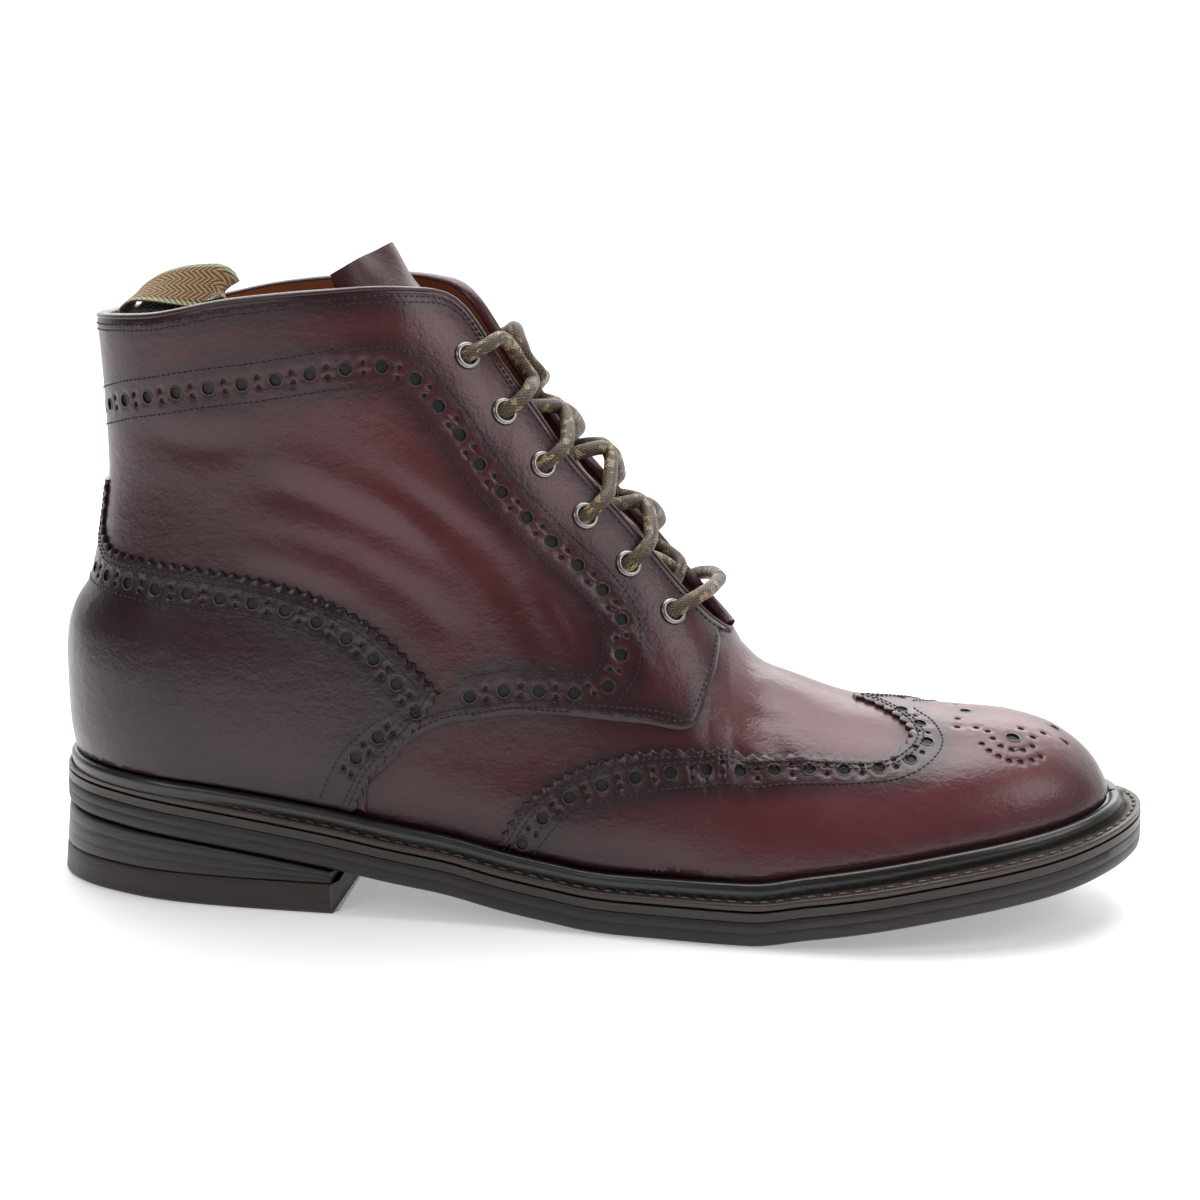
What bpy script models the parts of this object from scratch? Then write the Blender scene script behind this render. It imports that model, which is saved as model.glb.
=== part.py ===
"""Brogue boot, right foot: wingtip derby with a stacked heel, built round the form of its last.

X runs from the heel to the toe, Y to the inside of the foot, Z up. The origin is under the
middle of the heel's top piece, on the floor.
"""
import math

import bmesh
import bpy
import numpy as np
from mathutils import Vector

# Driving sizes in metres
SOLE_LENGTH = 0.3035
BALL_WIDTH = 0.108
HEEL_LENGTH = 0.083
HEEL_RISE = 0.0204
TOE_SPRING = 0.0181
OUTSOLE = 0.0070
MIDSOLE = 0.0026
WELT = 0.0022
BEAD_HEIGHT = 0.0042
BEAD_WIDTH = 0.0040
WELT_FLANGE = 0.0075
INSOLE = 0.0030
HEEL_FLARE = 0.0015
TOP_PIECE = 0.0085
TREAD_EDGE = 0.0035
TREAD_LIFT = 0.0018
WALL = 0.0021
OVERLAY = 0.0009
TONGUE = 0.0018
TONGUE_HALF = 0.026
TONGUE_LEAN = 0.013
EYELETS = 6
EYELET_RADIUS = 0.0038
EYELET_BORE = 0.0022
EYELET_HEIGHT = 0.0010
EYELET_BACK = 0.0092
LACE = 0.0038
LOOP_WIDTH = 0.0145
LOOP_THICKNESS = 0.0013
FOOT_BACK = 0.0061
FOOT_FRONT = 0.0090
INSTEP_RISE = 0.0595
SHAFT_RISE = 0.1262
THROAT_SHARE = 0.6237
THROAT_PLACE = THROAT_SHARE * SOLE_LENGTH
THROAT_DROP = 0.0066
CLEAR = 0.0003
HEEL_ROUND = 0.036
TOE_ROUND = 0.078


def smooth(rows, column=1):
    """Monotone cubic curve through the rows of a table."""
    x = np.array([row[0] for row in rows], float)
    y = np.array([row[column] for row in rows], float)
    h = np.diff(x)
    d = np.diff(y) / h
    m = np.zeros(len(x))
    m[0] = d[0]
    m[-1] = d[-1]
    for i in range(1, len(x) - 1):
        if d[i - 1] * d[i] > 0:
            w1 = 2 * h[i] + h[i - 1]
            w2 = h[i] + 2 * h[i - 1]
            m[i] = (w1 + w2) / (w1 / d[i - 1] + w2 / d[i])

    def value(v):
        v = np.clip(v, x[0], x[-1])
        k = np.clip(np.searchsorted(x, v, side="right") - 1, 0, len(x) - 2)
        t = (v - x[k]) / h[k]
        a = (2 * t ** 3 - 3 * t ** 2 + 1) * y[k] + (t ** 3 - 2 * t ** 2 + t) * h[k] * m[k]
        return a + (3 * t ** 2 - 2 * t ** 3) * y[k + 1] + (t ** 3 - t ** 2) * h[k] * m[k + 1]

    return value


# Sole outline: place along the length, then half widths out of the ball width
OUTLINE = [
    (0.00, 0.298, 0.306), (0.06, 0.302, 0.314), (0.11, 0.3215, 0.326),
    (0.17, 0.350, 0.333), (0.26, 0.373, 0.322), (0.35, 0.3865, 0.298),
    (0.45, 0.421, 0.300), (0.55, 0.4685, 0.352), (0.65, 0.5045, 0.440),
    (0.73, 0.513, 0.486), (0.81, 0.5095, 0.508), (0.89, 0.5085, 0.520),
    (1.00, 0.511, 0.528),
]
# Underside of the sole: place, share of heel rise, share of toe spring
UNDERSIDE = [
    (0.00, 1.00, 0), (0.13, 0.873, 0), (0.26, 0.632, 0), (0.33, 0.445, 0),
    (0.38, 0.333, 0), (0.43, 0.177, 0), (0.475, 0.075, 0), (0.51, 0.012, 0),
    (0.535, 0, 0), (0.650, 0, 0), (0.70, 0, 0.130), (0.76, 0, 0.288),
    (0.82, 0, 0.459), (0.87, 0, 0.583), (0.92, 0, 0.711), (1.00, 0, 1.00),
]
# Ridge of the last: place, share of instep rise, share of shaft rise, both above the feather
RIDGE = [
    (0.00, 1.0, 2.00), (0.20, 1.0, 1.33), (0.33, 1.0, 0.912), (0.356, 1.0, 0.810),
    (0.385, 1.0, 0.713), (0.41, 1.0, 0.630), (0.44, 1.0, 0.545), (0.471, 1.0, 0.454),
    (0.507, 1.0, 0.368), (0.543, 1.0, 0.275), (0.563, 1.0, 0.2185), (0.589, 1.0, 0.137),
    (0.606, 1.0, 0.0785), (0.622, 0.988, 0.030), (0.636, 0.942, 0.0), (0.648, 0.889, 0.0),
    (0.674, 0.818, 0.0), (0.704, 0.733, 0.0), (0.731, 0.669, 0.0), (0.756, 0.628, 0.0),
    (0.782, 0.585, 0.0), (0.809, 0.541, 0.0), (0.835, 0.514, 0.0), (0.861, 0.492, 0.0),
    (0.887, 0.459, 0.0), (0.913, 0.406, 0.0), (0.936, 0.319, 0.0), (0.952, 0.227, 0.0),
    (0.9625, 0.128, 0.0), (0.9705, 0.0, 0.0),
]
# Collar line: place, share of the shaft rise above the back of the feather
COLLAR = [
    (0.03, 0.998), (0.065, 1.006), (0.108, 1.015), (0.187, 1.053), (0.262, 1.074),
    (0.314, 1.082), (0.345, 1.078), (0.40, 1.070), (0.45, 1.055),
]
# Back of the heel: share of the shaft rise, share of the length
BACKLINE = [
    (0.00, 0.0203), (0.035, 0.0173), (0.09, 0.0132), (0.17, 0.0115), (0.25, 0.0110),
    (0.31, 0.0130), (0.36, 0.0196), (0.41, 0.0324), (0.475, 0.0398), (0.56, 0.0459),
    (0.63, 0.0494), (0.68, 0.0500), (0.74, 0.0494), (0.86, 0.0470), (0.94, 0.0447),
    (1.00, 0.0426), (1.20, 0.0375),
]
# Half widths of the upper out of the ball width: a row for each height above the feather
# (share of the shaft rise), a column for each place along the length
PLACES = (0.0, 0.13, 0.26, 0.36, 0.46, 0.555, 0.65, 0.78, 1.0)
OUTSIDE = [
    (0.00, 0.265, 0.284, 0.305, 0.322, 0.356, 0.397, 0.422, 0.410, 0.392),
    (0.10, 0.282, 0.303, 0.322, 0.337, 0.368, 0.407, 0.430, 0.416, 0.398),
    (0.24, 0.292, 0.308, 0.321, 0.329, 0.345, 0.382, 0.428, 0.425, 0.412),
    (0.48, 0.262, 0.272, 0.298, 0.310, 0.320, 0.330, 0.36, 0.36, 0.36),
    (0.72, 0.252, 0.264, 0.296, 0.306, 0.304, 0.30, 0.30, 0.30, 0.30),
    (1.05, 0.282, 0.302, 0.318, 0.312, 0.290, 0.28, 0.28, 0.28, 0.28),
    (1.40, 0.300, 0.320, 0.330, 0.312, 0.290, 0.28, 0.28, 0.28, 0.28),
]
INSIDE = [
    (0.00, 0.262, 0.276, 0.262, 0.236, 0.240, 0.292, 0.366, 0.428, 0.448),
    (0.10, 0.284, 0.300, 0.292, 0.274, 0.284, 0.332, 0.392, 0.436, 0.452),
    (0.24, 0.292, 0.306, 0.302, 0.298, 0.308, 0.340, 0.392, 0.436, 0.452),
    (0.48, 0.262, 0.272, 0.292, 0.302, 0.304, 0.312, 0.34, 0.36, 0.36),
    (0.72, 0.252, 0.264, 0.292, 0.302, 0.298, 0.29, 0.30, 0.30, 0.30),
    (1.05, 0.282, 0.302, 0.318, 0.312, 0.290, 0.28, 0.28, 0.28, 0.28),
    (1.40, 0.300, 0.320, 0.330, 0.312, 0.290, 0.28, 0.28, 0.28, 0.28),
]
# Sideways place of the ridge, towards the inside: place, share of the ball width
SWING = [(0.0, 0.0), (0.35, 0.0), (0.55, 0.018), (0.70, 0.034), (0.85, 0.020), (0.97, 0.0)]

outline_out = smooth(OUTLINE, 1)
outline_in = smooth(OUTLINE, 2)
heel_part = smooth(UNDERSIDE, 1)
toe_part = smooth(UNDERSIDE, 2)
ridge_instep = smooth(RIDGE, 1)
ridge_shaft = smooth(RIDGE, 2)
collar_share = smooth(COLLAR)
backline_share = smooth(BACKLINE)
swing_share = smooth(SWING)
rows_out = [smooth([(p, row[i + 1]) for i, p in enumerate(PLACES)]) for row in OUTSIDE]
rows_in = [smooth([(p, row[i + 1]) for i, p in enumerate(PLACES)]) for row in INSIDE]
HEIGHTS = np.array([row[0] for row in OUTSIDE])

SOLE_STACK = OUTSOLE + MIDSOLE + WELT
FOOT_START = FOOT_BACK
FOOT_END = SOLE_LENGTH - FOOT_FRONT


def underside(x):
    """Height of the sole's underside at a place along the length."""
    t = x / SOLE_LENGTH
    return HEEL_RISE * heel_part(t) + TOE_SPRING * toe_part(t)


def feather(x):
    """Height of the upper's lower edge, just above the welt."""
    return underside(x) + SOLE_STACK + CLEAR


def ease(t):
    t = np.clip(t, 0.0, 1.0)
    return t * t * (3 - 2 * t)


FEATHER_BACK = float(feather(FOOT_START))


def ridge(x):
    """Height of the last's top line, run on above the collar."""
    t = x / SOLE_LENGTH
    return feather(x) + INSTEP_RISE * ridge_instep(t) + SHAFT_RISE * ridge_shaft(t)


def backline(z):
    """Place of the back seam at a height."""
    share = (z - FEATHER_BACK) / SHAFT_RISE
    return SOLE_LENGTH * backline_share(share)


def round_end(t):
    """Quarter ellipse: 0 at the end, 1 from the full width on."""
    t = np.clip(t, 0.0, 1.0)
    return np.sqrt(1 - (1 - t) ** 2)


def full_width(side, x, h):
    """Half width before the ends and the ridge round it off; side is -1 outside, 1 inside."""
    rows = rows_out if side < 0 else rows_in
    t = x / SOLE_LENGTH
    share = np.clip(h / SHAFT_RISE, HEIGHTS[0], HEIGHTS[-1])
    values = np.array([row(t) for row in rows])
    k = np.clip(np.searchsorted(HEIGHTS, share, side="right") - 1, 0, len(HEIGHTS) - 2)
    slopes = np.gradient(values, HEIGHTS, axis=0)
    step = HEIGHTS[k + 1] - HEIGHTS[k]
    u = (share - HEIGHTS[k]) / step
    low = np.take_along_axis(values, np.expand_dims(k, 0), 0)[0]
    high = np.take_along_axis(values, np.expand_dims(k + 1, 0), 0)[0]
    m0 = np.take_along_axis(slopes, np.expand_dims(k, 0), 0)[0]
    m1 = np.take_along_axis(slopes, np.expand_dims(k + 1, 0), 0)[0]
    a = (2 * u ** 3 - 3 * u ** 2 + 1) * low + (u ** 3 - 2 * u ** 2 + u) * step * m0
    b = (3 * u ** 2 - 2 * u ** 3) * high + (u ** 3 - u ** 2) * step * m1
    return BALL_WIDTH * (a + b)


ROUNDING = smooth([(0.0, 0.62), (0.38, 0.60), (0.46, 0.56), (0.54, 0.52), (0.61, 0.49), (0.66, 0.48), (1.0, 0.48)])
FULLNESS = smooth([(0.0, 2.1), (0.6, 2.1), (0.75, 2.3), (0.86, 2.7), (1.0, 2.7)])


def half_width(side, x, z):
    """Half width of the upper's outer face at a place and height."""
    x = np.asarray(x, float)
    z = np.asarray(z, float)
    t = x / SOLE_LENGTH
    h = np.maximum(z - feather(x), 0.0)
    behind = backline(z)
    start = FOOT_START + (behind - FOOT_START) * 1.0
    heel = round_end((x - start) / HEEL_ROUND)
    toe = round_end((FOOT_END - x) / TOE_ROUND)
    top = ridge(x)
    tall = top - feather(x)
    reach = np.where(t > 0.66, tall, np.minimum(tall, (INSTEP_RISE + SHAFT_RISE) * 0.75 * ROUNDING(t)))
    q = np.clip((top - z) / np.maximum(reach, 1e-6), 0.0, 1.0)
    over = np.sqrt(np.clip(1 - (1 - q) ** FULLNESS(t), 0.0, 1.0))
    return full_width(side, x, h) * heel * toe * over


def centre(x):
    return BALL_WIDTH * swing_share(x / SOLE_LENGTH)


def surface(side, x, z):
    """Sideways place of the upper's outer face."""
    w = half_width(side, x, z)
    top = ridge(x)
    tall = np.maximum(top - feather(x), 1e-6)
    lift = ease(np.clip((z - feather(x)) / tall, 0.0, 1.0))
    return side * w + centre(x) * lift


def top_line(x):
    """Height of the upper's upper edge: collar, facing edge, throat, then the ridge."""
    t = x / SOLE_LENGTH
    collar = FEATHER_BACK + SHAFT_RISE * collar_share(t)
    end = THROAT_DROP * 3.0
    s = np.clip((x - (THROAT_PLACE - end)) / end, 0.0, 1.0)
    drop = THROAT_DROP * (1 - s ** 2)
    facing = ridge(x) - drop
    soft = 0.0035
    low = -soft * np.logaddexp(-collar / soft, -facing / soft)
    return np.where(x >= THROAT_PLACE, ridge(x), np.where(t > 0.45, facing, low))


# Pattern lines: place along the length, share of the height from feather to top line
COUNTER_LINE = [
    (0.0555, 0.640), (0.0565, 0.530), (0.063, 0.502), (0.077, 0.496), (0.105, 0.490),
    (0.145, 0.480), (0.178, 0.470), (0.213, 0.456), (0.248, 0.439), (0.283, 0.413),
    (0.311, 0.384), (0.336, 0.347), (0.358, 0.308), (0.371, 0.283), (0.352, 0.200),
    (0.331, 0.154), (0.302, 0.088), (0.294, 0.020),
]
QUARTER_LINE = [
    (0.297, 0.020), (0.305, 0.088), (0.328, 0.141), (0.338, 0.166), (0.362, 0.206),
    (0.394, 0.252), (0.438, 0.330), (0.476, 0.395), (0.531, 0.473), (0.563, 0.531),
    (0.583, 0.572), (0.594, 0.609), (0.600, 0.660), (0.608, 0.780), (0.616, 0.900),
]
WING_LINE = [
    (0.421, 0.020), (0.440, 0.122), (0.464, 0.202), (0.500, 0.306), (0.540, 0.400),
    (0.598, 0.530), (0.657, 0.640), (0.716, 0.725), (0.760, 0.765), (0.780, 0.829),
    (0.790, 0.908), (0.781, 0.950), (0.766, 0.975), (0.745, 0.990), (0.728, 1.000),
    (0.726, 1.300),
]

# Lattice of the upper, for each side: stations from heel to toe, rows from feather to top
COLLAR_STEPS = 10
FACING_STOPS = (0.12, 0.25, 0.38, 0.52, 0.66, 0.79, 0.885, 0.93, 0.97, 1.0)
RIDGE_STEPS = 12
ROWS = 11
COLLAR_FRONT = 0.380
FOOT_UNDER_COLLAR = 0.367
FOOT_UNDER_THROAT = 0.640

COLOURS = {
    "leather": ((0.085, 0.012, 0.012), 0.35),
    "dark leather": ((0.045, 0.010, 0.012), 0.32),
    "lining": ((0.42, 0.17, 0.05), 0.7),
    "welt": ((0.030, 0.022, 0.018), 0.5),
    "rubber": ((0.035, 0.027, 0.021), 0.6),
    "heel": ((0.040, 0.030, 0.024), 0.5),
    "insole": ((0.40, 0.22, 0.10), 0.7),
    "lace": ((0.14, 0.10, 0.045), 0.7),
    "nickel": ((0.60, 0.58, 0.55), 0.3),
    "webbing": ((0.33, 0.20, 0.09), 0.9),
}


def clear_scene():
    for item in list(bpy.data.objects):
        bpy.data.objects.remove(item, do_unlink=True)


def finish(colour):
    """One material for each colour and piece."""
    tint, rough = COLOURS[colour]
    made = bpy.data.materials.new(colour)
    made.use_nodes = True
    shader = made.node_tree.nodes["Principled BSDF"]
    shader.inputs["Base Color"].default_value = (*tint, 1.0)
    shader.inputs["Roughness"].default_value = rough
    shader.inputs["Metallic"].default_value = 1.0 if colour == "nickel" else 0.0
    made.diffuse_color = (*tint, 1.0)
    return made


def add_object(name, mesh, colour):
    thing = bpy.data.objects.new(name, mesh)
    bpy.context.scene.collection.objects.link(thing)
    thing.location = (-HEEL_LENGTH / 2, 0.0, 0.0)
    mesh.materials.append(finish(colour))
    mesh.shade_smooth()
    mesh.set_sharp_from_angle(angle=math.radians(40))
    return thing


def solid(name, points, faces, colour):
    """Mesh object from points and faces; points that meet are merged and faces turned out."""
    bm = bmesh.new()
    verts = [bm.verts.new(p) for p in points]
    for face in faces:
        ring = [verts[i] for i in face]
        if len(set(ring)) > 2:
            bm.faces.new(ring)
    bmesh.ops.remove_doubles(bm, verts=bm.verts, dist=0.00001)
    bmesh.ops.dissolve_degenerate(bm, edges=bm.edges, dist=0.000005)
    bmesh.ops.recalc_face_normals(bm, faces=bm.faces)
    bmesh.ops.triangulate(bm, faces=bm.faces)
    mesh = bpy.data.meshes.new(name)
    bm.to_mesh(mesh)
    bm.free()
    return add_object(name, mesh, colour)


def loft(name, sections, colour, around=False, ends=True):
    """Solid through sections with the same number of points each."""
    count = len(sections[0])
    points = [p for section in sections for p in section]
    total = len(sections)
    faces = []
    for i in range(total if around else total - 1):
        a = i * count
        b = (i + 1) % total * count
        for k in range(count):
            n = (k + 1) % count
            faces.append((a + k, a + n, b + n, b + k))
    if not around and ends:
        faces.append(tuple(range(count)))
        faces.append(tuple(range((total - 1) * count, total * count)))
    return solid(name, points, faces, colour)


# Base surface of the upper

def stations():
    """Pairs of places, at the feather and at the top line."""
    back_top = float(backline(FEATHER_BACK + SHAFT_RISE * float(collar_share(0.04))))
    front_top = COLLAR_FRONT * SOLE_LENGTH
    front_foot = FOOT_UNDER_COLLAR * SOLE_LENGTH
    throat_foot = FOOT_UNDER_THROAT * SOLE_LENGTH
    pairs = []
    for i in range(COLLAR_STEPS + 1):
        t = 1 - math.cos(i / COLLAR_STEPS * math.pi / 2)
        foot = FOOT_START + (front_foot - FOOT_START) * t
        pairs.append((foot, back_top + (front_top - back_top) * t))
    for t in FACING_STOPS:
        foot = front_foot + (throat_foot - front_foot) * t
        pairs.append((foot, front_top + (THROAT_PLACE - front_top) * t))
    for i in range(1, RIDGE_STEPS + 1):
        t = math.sin(i / RIDGE_STEPS * math.pi / 2)
        foot = throat_foot + (FOOT_END - throat_foot) * t
        pairs.append((foot, THROAT_PLACE + (FOOT_END - THROAT_PLACE) * t))
    return pairs


def lattice_point(side, foot, top, row, first, blend):
    """Point of the upper's outer face at a station and a row."""
    s = row / ROWS
    v = (1 - blend) * s + blend * math.sin(s * math.pi / 2)
    low = float(feather(foot))
    high = float(top_line(top))
    z = low + (high - low) * v
    start = first[0] + (first[1] - first[0]) * v
    x = foot + (top - foot) * v
    near = 1 - float(ease((x - start) / (0.30 * SOLE_LENGTH)))
    x = x + (float(backline(z)) - start) * near
    y = float(surface(side, x, z))
    return x, y, z


def base_surface():
    """Points, quads and sides of the whole outer face, sides joined at back seam and ridge."""
    pairs = stations()
    throat = COLLAR_STEPS + len(FACING_STOPS)
    last = len(pairs) - 1
    points = []
    index = {}
    for side in (-1, 1):
        for i, (foot, top) in enumerate(pairs):
            blend = float(ease((i - COLLAR_STEPS + 3) / (throat - COLLAR_STEPS + 3)))
            for j in range(ROWS + 1):
                joined = i == 0 or (j == ROWS and i >= throat) or i == last
                key = (0 if joined else side, i, 0 if i == last else j)
                if key in index:
                    continue
                if i == last:
                    place = (FOOT_END, 0.0, float(feather(FOOT_END)))
                else:
                    place = lattice_point(side, foot, top, j, pairs[0], blend)
                if i == 0:
                    place = (place[0], 0.0, place[2])
                elif j == ROWS and i >= throat:
                    place = (place[0], float(centre(place[0])), place[2])
                index[key] = len(points)
                points.append(place)

    def find(side, i, j):
        key = (side, i, 0 if i == last else j)
        return index[key] if key in index else index[(0,) + key[1:]]

    quads = []
    for side in (-1, 1):
        for i in range(last):
            for j in range(ROWS):
                ring = [find(side, i, j), find(side, i + 1, j)]
                ring += [find(side, i + 1, j + 1), find(side, i, j + 1)]
                kept = []
                for k in ring:
                    if k not in kept:
                        kept.append(k)
                if side > 0:
                    kept.reverse()
                if len(kept) > 2:
                    quads.append((tuple(kept), side))
    foot = [(find(-1, i, 0), find(-1, i, 1), -1) for i in range(last + 1)]
    foot += [(find(1, i, 0), find(1, i, 1), 1) for i in range(last - 1, 0, -1)]
    return np.array(points), quads, foot


def vertex_normals(points, faces):
    normals = np.zeros_like(points)
    for ring in faces:
        a = points[ring[0]]
        for k in range(1, len(ring) - 1):
            n = np.cross(points[ring[k]] - a, points[ring[k + 1]] - a)
            for i in (ring[0], ring[k], ring[k + 1]):
                normals[i] += n
    length = np.linalg.norm(normals, axis=1)
    return normals / np.maximum(length, 1e-12)[:, None]


def shell(name, points, normals, faces, low, high, colour):
    """Closed solid between two offsets of some faces of a surface."""
    used = sorted({i for ring in faces for i in ring})
    new = {i: k for k, i in enumerate(used)}
    count = len(used)
    both = [tuple(points[i] + normals[i] * high) for i in used]
    both += [tuple(points[i] + normals[i] * low) for i in used]
    edges = {}
    made = []
    for ring in faces:
        r = [new[i] for i in ring]
        made.append(tuple(r))
        made.append(tuple(i + count for i in reversed(r)))
        for k in range(len(r)):
            edge = (r[k], r[(k + 1) % len(r)])
            edges[edge] = edges.get(edge, 0) + 1
    for (a, b) in edges:
        if (b, a) not in edges:
            made.append((b, a, a + count, b + count))
    return solid(name, both, made, colour)


def pattern(rows):
    """Pattern line in the side view, as places and heights."""
    line = []
    for share, v in rows:
        x = share * SOLE_LENGTH
        low = float(feather(x))
        line.append((x, low + (float(top_line(x)) - low) * v))
    return line


def above_bead(start, end, count):
    """Lower edge of an overlay, just clear of the welt's bead."""
    line = []
    for i in range(count + 1):
        x = (start + (end - start) * i / count) * SOLE_LENGTH
        line.append((x, float(feather(x)) + BEAD_HEIGHT + 2 * CLEAR))
    return line


def keep_inside(target, name, line, y0, y1):
    """Cuts a piece to an outline of the side view, pushed through from y0 to y1."""
    bm = bmesh.new()
    near = [bm.verts.new((x, y0, z)) for x, z in line]
    far = [bm.verts.new((x, y1, z)) for x, z in line]
    bm.faces.new(near)
    bm.faces.new(list(reversed(far)))
    for k in range(len(line)):
        n = (k + 1) % len(line)
        bm.faces.new((near[k], far[k], far[n], near[n]))
    bmesh.ops.recalc_face_normals(bm, faces=bm.faces)
    mesh = bpy.data.meshes.new(name)
    bm.to_mesh(mesh)
    bm.free()
    cutter = bpy.data.objects.new(name, mesh)
    bpy.context.scene.collection.objects.link(cutter)
    cutter.location = target.location
    cutter.hide_render = True
    cutter.display_type = "WIRE"
    cut = target.modifiers.new("pattern", "BOOLEAN")
    cut.operation = "INTERSECT"
    cut.solver = "EXACT"
    cut.object = cutter


# Rings round the sole and round the upper's foot

RING_STEPS = 26


def ring_places():
    """Angles from heel to toe, with the ends of the flat tread among them."""
    extra = [0.535, 0.650]
    angles = [math.pi * i / RING_STEPS for i in range(RING_STEPS + 1)]
    for share in extra:
        wanted = math.acos(1 - 2 * share)
        k = min(range(1, RING_STEPS), key=lambda i: abs(angles[i] - wanted))
        angles[k] = wanted
    return sorted(angles)


def sole_point(side, angle, inset=0.0):
    """Point of the sole's outline, moved in by an inset."""
    t = (1 - math.cos(angle)) / 2
    x = inset + (SOLE_LENGTH - 2 * inset) * t
    table = outline_out if side < 0 else outline_in
    wide = BALL_WIDTH * float(table(x / SOLE_LENGTH)) - inset
    heel = float(round_end((x - inset) / (HEEL_ROUND * 1.17 - inset)))
    toe = float(round_end((SOLE_LENGTH - inset - x) / (TOE_ROUND * 1.09 - inset)))
    return x, side * wide * heel * toe


def foot_point(side, angle, height, grow):
    """Point of the upper's outline at a height over the feather, moved out by grow."""
    def place(a):
        t = (1 - math.cos(a)) / 2
        x = FOOT_START + (FOOT_END - FOOT_START) * t
        z = float(feather(x)) + height
        x = x + (float(backline(z)) - FOOT_START) * (1 - float(ease(t / 0.30)))
        return x, float(surface(side, x, z))

    x, y = place(angle)
    if angle < 1e-6:
        return x - grow, 0.0
    if angle > math.pi - 1e-6:
        return FOOT_END + grow, 0.0
    x0, y0 = place(max(angle - 0.03, 0.0))
    x1, y1 = place(min(angle + 0.03, math.pi))
    long = math.hypot(x1 - x0, y1 - y0)
    return x - side * (y1 - y0) / long * grow, y + side * (x1 - x0) / long * grow


def build_plate(name, low, high, inset, colour, step=None):
    """Plate with the sole's outline; step gives its lower edge an inset and a lift."""
    sections = []
    for angle in ring_places():
        xo, yo = sole_point(-1, angle, inset)
        xi, yi = sole_point(1, angle, inset)
        section = []
        if step:
            edge, lift = step
            xa, ya = sole_point(-1, angle, inset + edge)
            xb, yb = sole_point(1, angle, inset + edge)
            base = float(underside(xo)) + low
            section.append((xa, ya, float(underside(xa)) + low))
            section.append((xo, yo, base + lift))
            section.append((xo, yo, float(underside(xo)) + high))
            section.append((xi, yi, float(underside(xi)) + high))
            section.append((xi, yi, base + lift))
            section.append((xb, yb, float(underside(xb)) + low))
        else:
            section.append((xo, yo, float(underside(xo)) + low))
            section.append((xo, yo, float(underside(xo)) + high))
            section.append((xi, yi, float(underside(xi)) + high))
            section.append((xi, yi, float(underside(xi)) + low))
        sections.append(section)
    return loft(name, sections, colour)


def build_welt(points, foot):
    """Flat strip round the foot with a raised bead against the upper."""
    top = SOLE_STACK
    low = SOLE_STACK - WELT + CLEAR
    gap = 1.5 * CLEAR
    sections = []
    count = len(foot)
    for k, (a, b, side) in enumerate(foot):
        base = Vector(points[a])
        over = Vector(points[b])
        rise = over.z - base.z
        crown = base.lerp(over, min(BEAD_HEIGHT / rise, 1.0)) if rise > 0.0001 else base
        before = Vector(points[foot[k - 1][0]])
        after = Vector(points[foot[(k + 1) % count][0]])
        run = after - before
        out = Vector((run.y, -run.x, 0.0)).normalized()
        t = (base.x - FOOT_START) / (FOOT_END - FOOT_START)
        edge = sole_point(side, math.acos(max(-1.0, min(1.0, 1 - 2 * t))), 0.0002)

        def moved(p, by):
            return (p.x + out.x * by, p.y + out.y * by)

        section = []
        for place, height in (
            (edge, low), (edge, top), (moved(base, gap + BEAD_WIDTH), top),
            (moved(crown, gap + BEAD_WIDTH), top + BEAD_HEIGHT * 0.65),
            (moved(crown, gap + BEAD_WIDTH * 0.62), top + BEAD_HEIGHT),
            (moved(crown, gap), top + BEAD_HEIGHT), (moved(base, gap), top),
            (moved(base, -WELT_FLANGE), top), (moved(base, -WELT_FLANGE), low),
        ):
            section.append((*place, float(underside(place[0])) + height))
        sections.append(section)
    return loft("welt", sections, "welt", around=True)


def build_insole():
    """Insole with the filler that fits inside the welt's flange."""
    low = SOLE_STACK - WELT + CLEAR
    step = SOLE_STACK + 1.5 * CLEAR
    high = SOLE_STACK + CLEAR + INSOLE
    sections = []
    for angle in ring_places():
        section = []
        for side, order in ((-1, 1), (1, -1)):
            narrow = foot_point(side, angle, 0.0, -WELT_FLANGE - 4 * CLEAR)
            wide = foot_point(side, angle, 0.0, -WALL - 4 * CLEAR)
            rows = [(narrow, low), (narrow, step), (wide, step), (wide, high)]
            half = [(*p, float(underside(p[0])) + z) for p, z in rows]
            section += half[::order]
        sections.append(section)
    return loft("insole", sections, "insole")


def build_heel(name, low, high, colour):
    """Heel block between two heights; high None follows the sole's underside."""
    angles = []
    end = math.acos(1 - 2 * HEEL_LENGTH / SOLE_LENGTH)
    for i in range(13):
        angles.append(end * i / 12)
    sections = []
    for angle in angles:
        section = []
        for side in (-1, 1):
            x, y = sole_point(side, angle, 0.0003)
            top = float(underside(x)) - CLEAR if high is None else high
            pair = []
            for z in (low, top):
                out = HEEL_FLARE * (1 - z / HEEL_RISE)
                back = out * (1 - x / HEEL_LENGTH)
                pair.append((x - back, y + side * out * 0.35 * min(1, abs(y) / 0.01), z))
            section += pair if side < 0 else pair[::-1]
        sections.append(section)
    return loft(name, sections, colour)


# Facing edge, eyelets, tongue, laces and loop

def facing_edge(count):
    """Places along the facing edge at even steps, from the top eyelet to the lowest."""
    places = np.linspace(0.401, 0.583, 60) * SOLE_LENGTH
    heights = top_line(places)
    steps = np.hypot(np.diff(places), np.diff(heights))
    run = np.concatenate([[0.0], np.cumsum(steps)])
    return [float(np.interp(run[-1] * i / (count - 1), run, places)) for i in range(count)]


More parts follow.
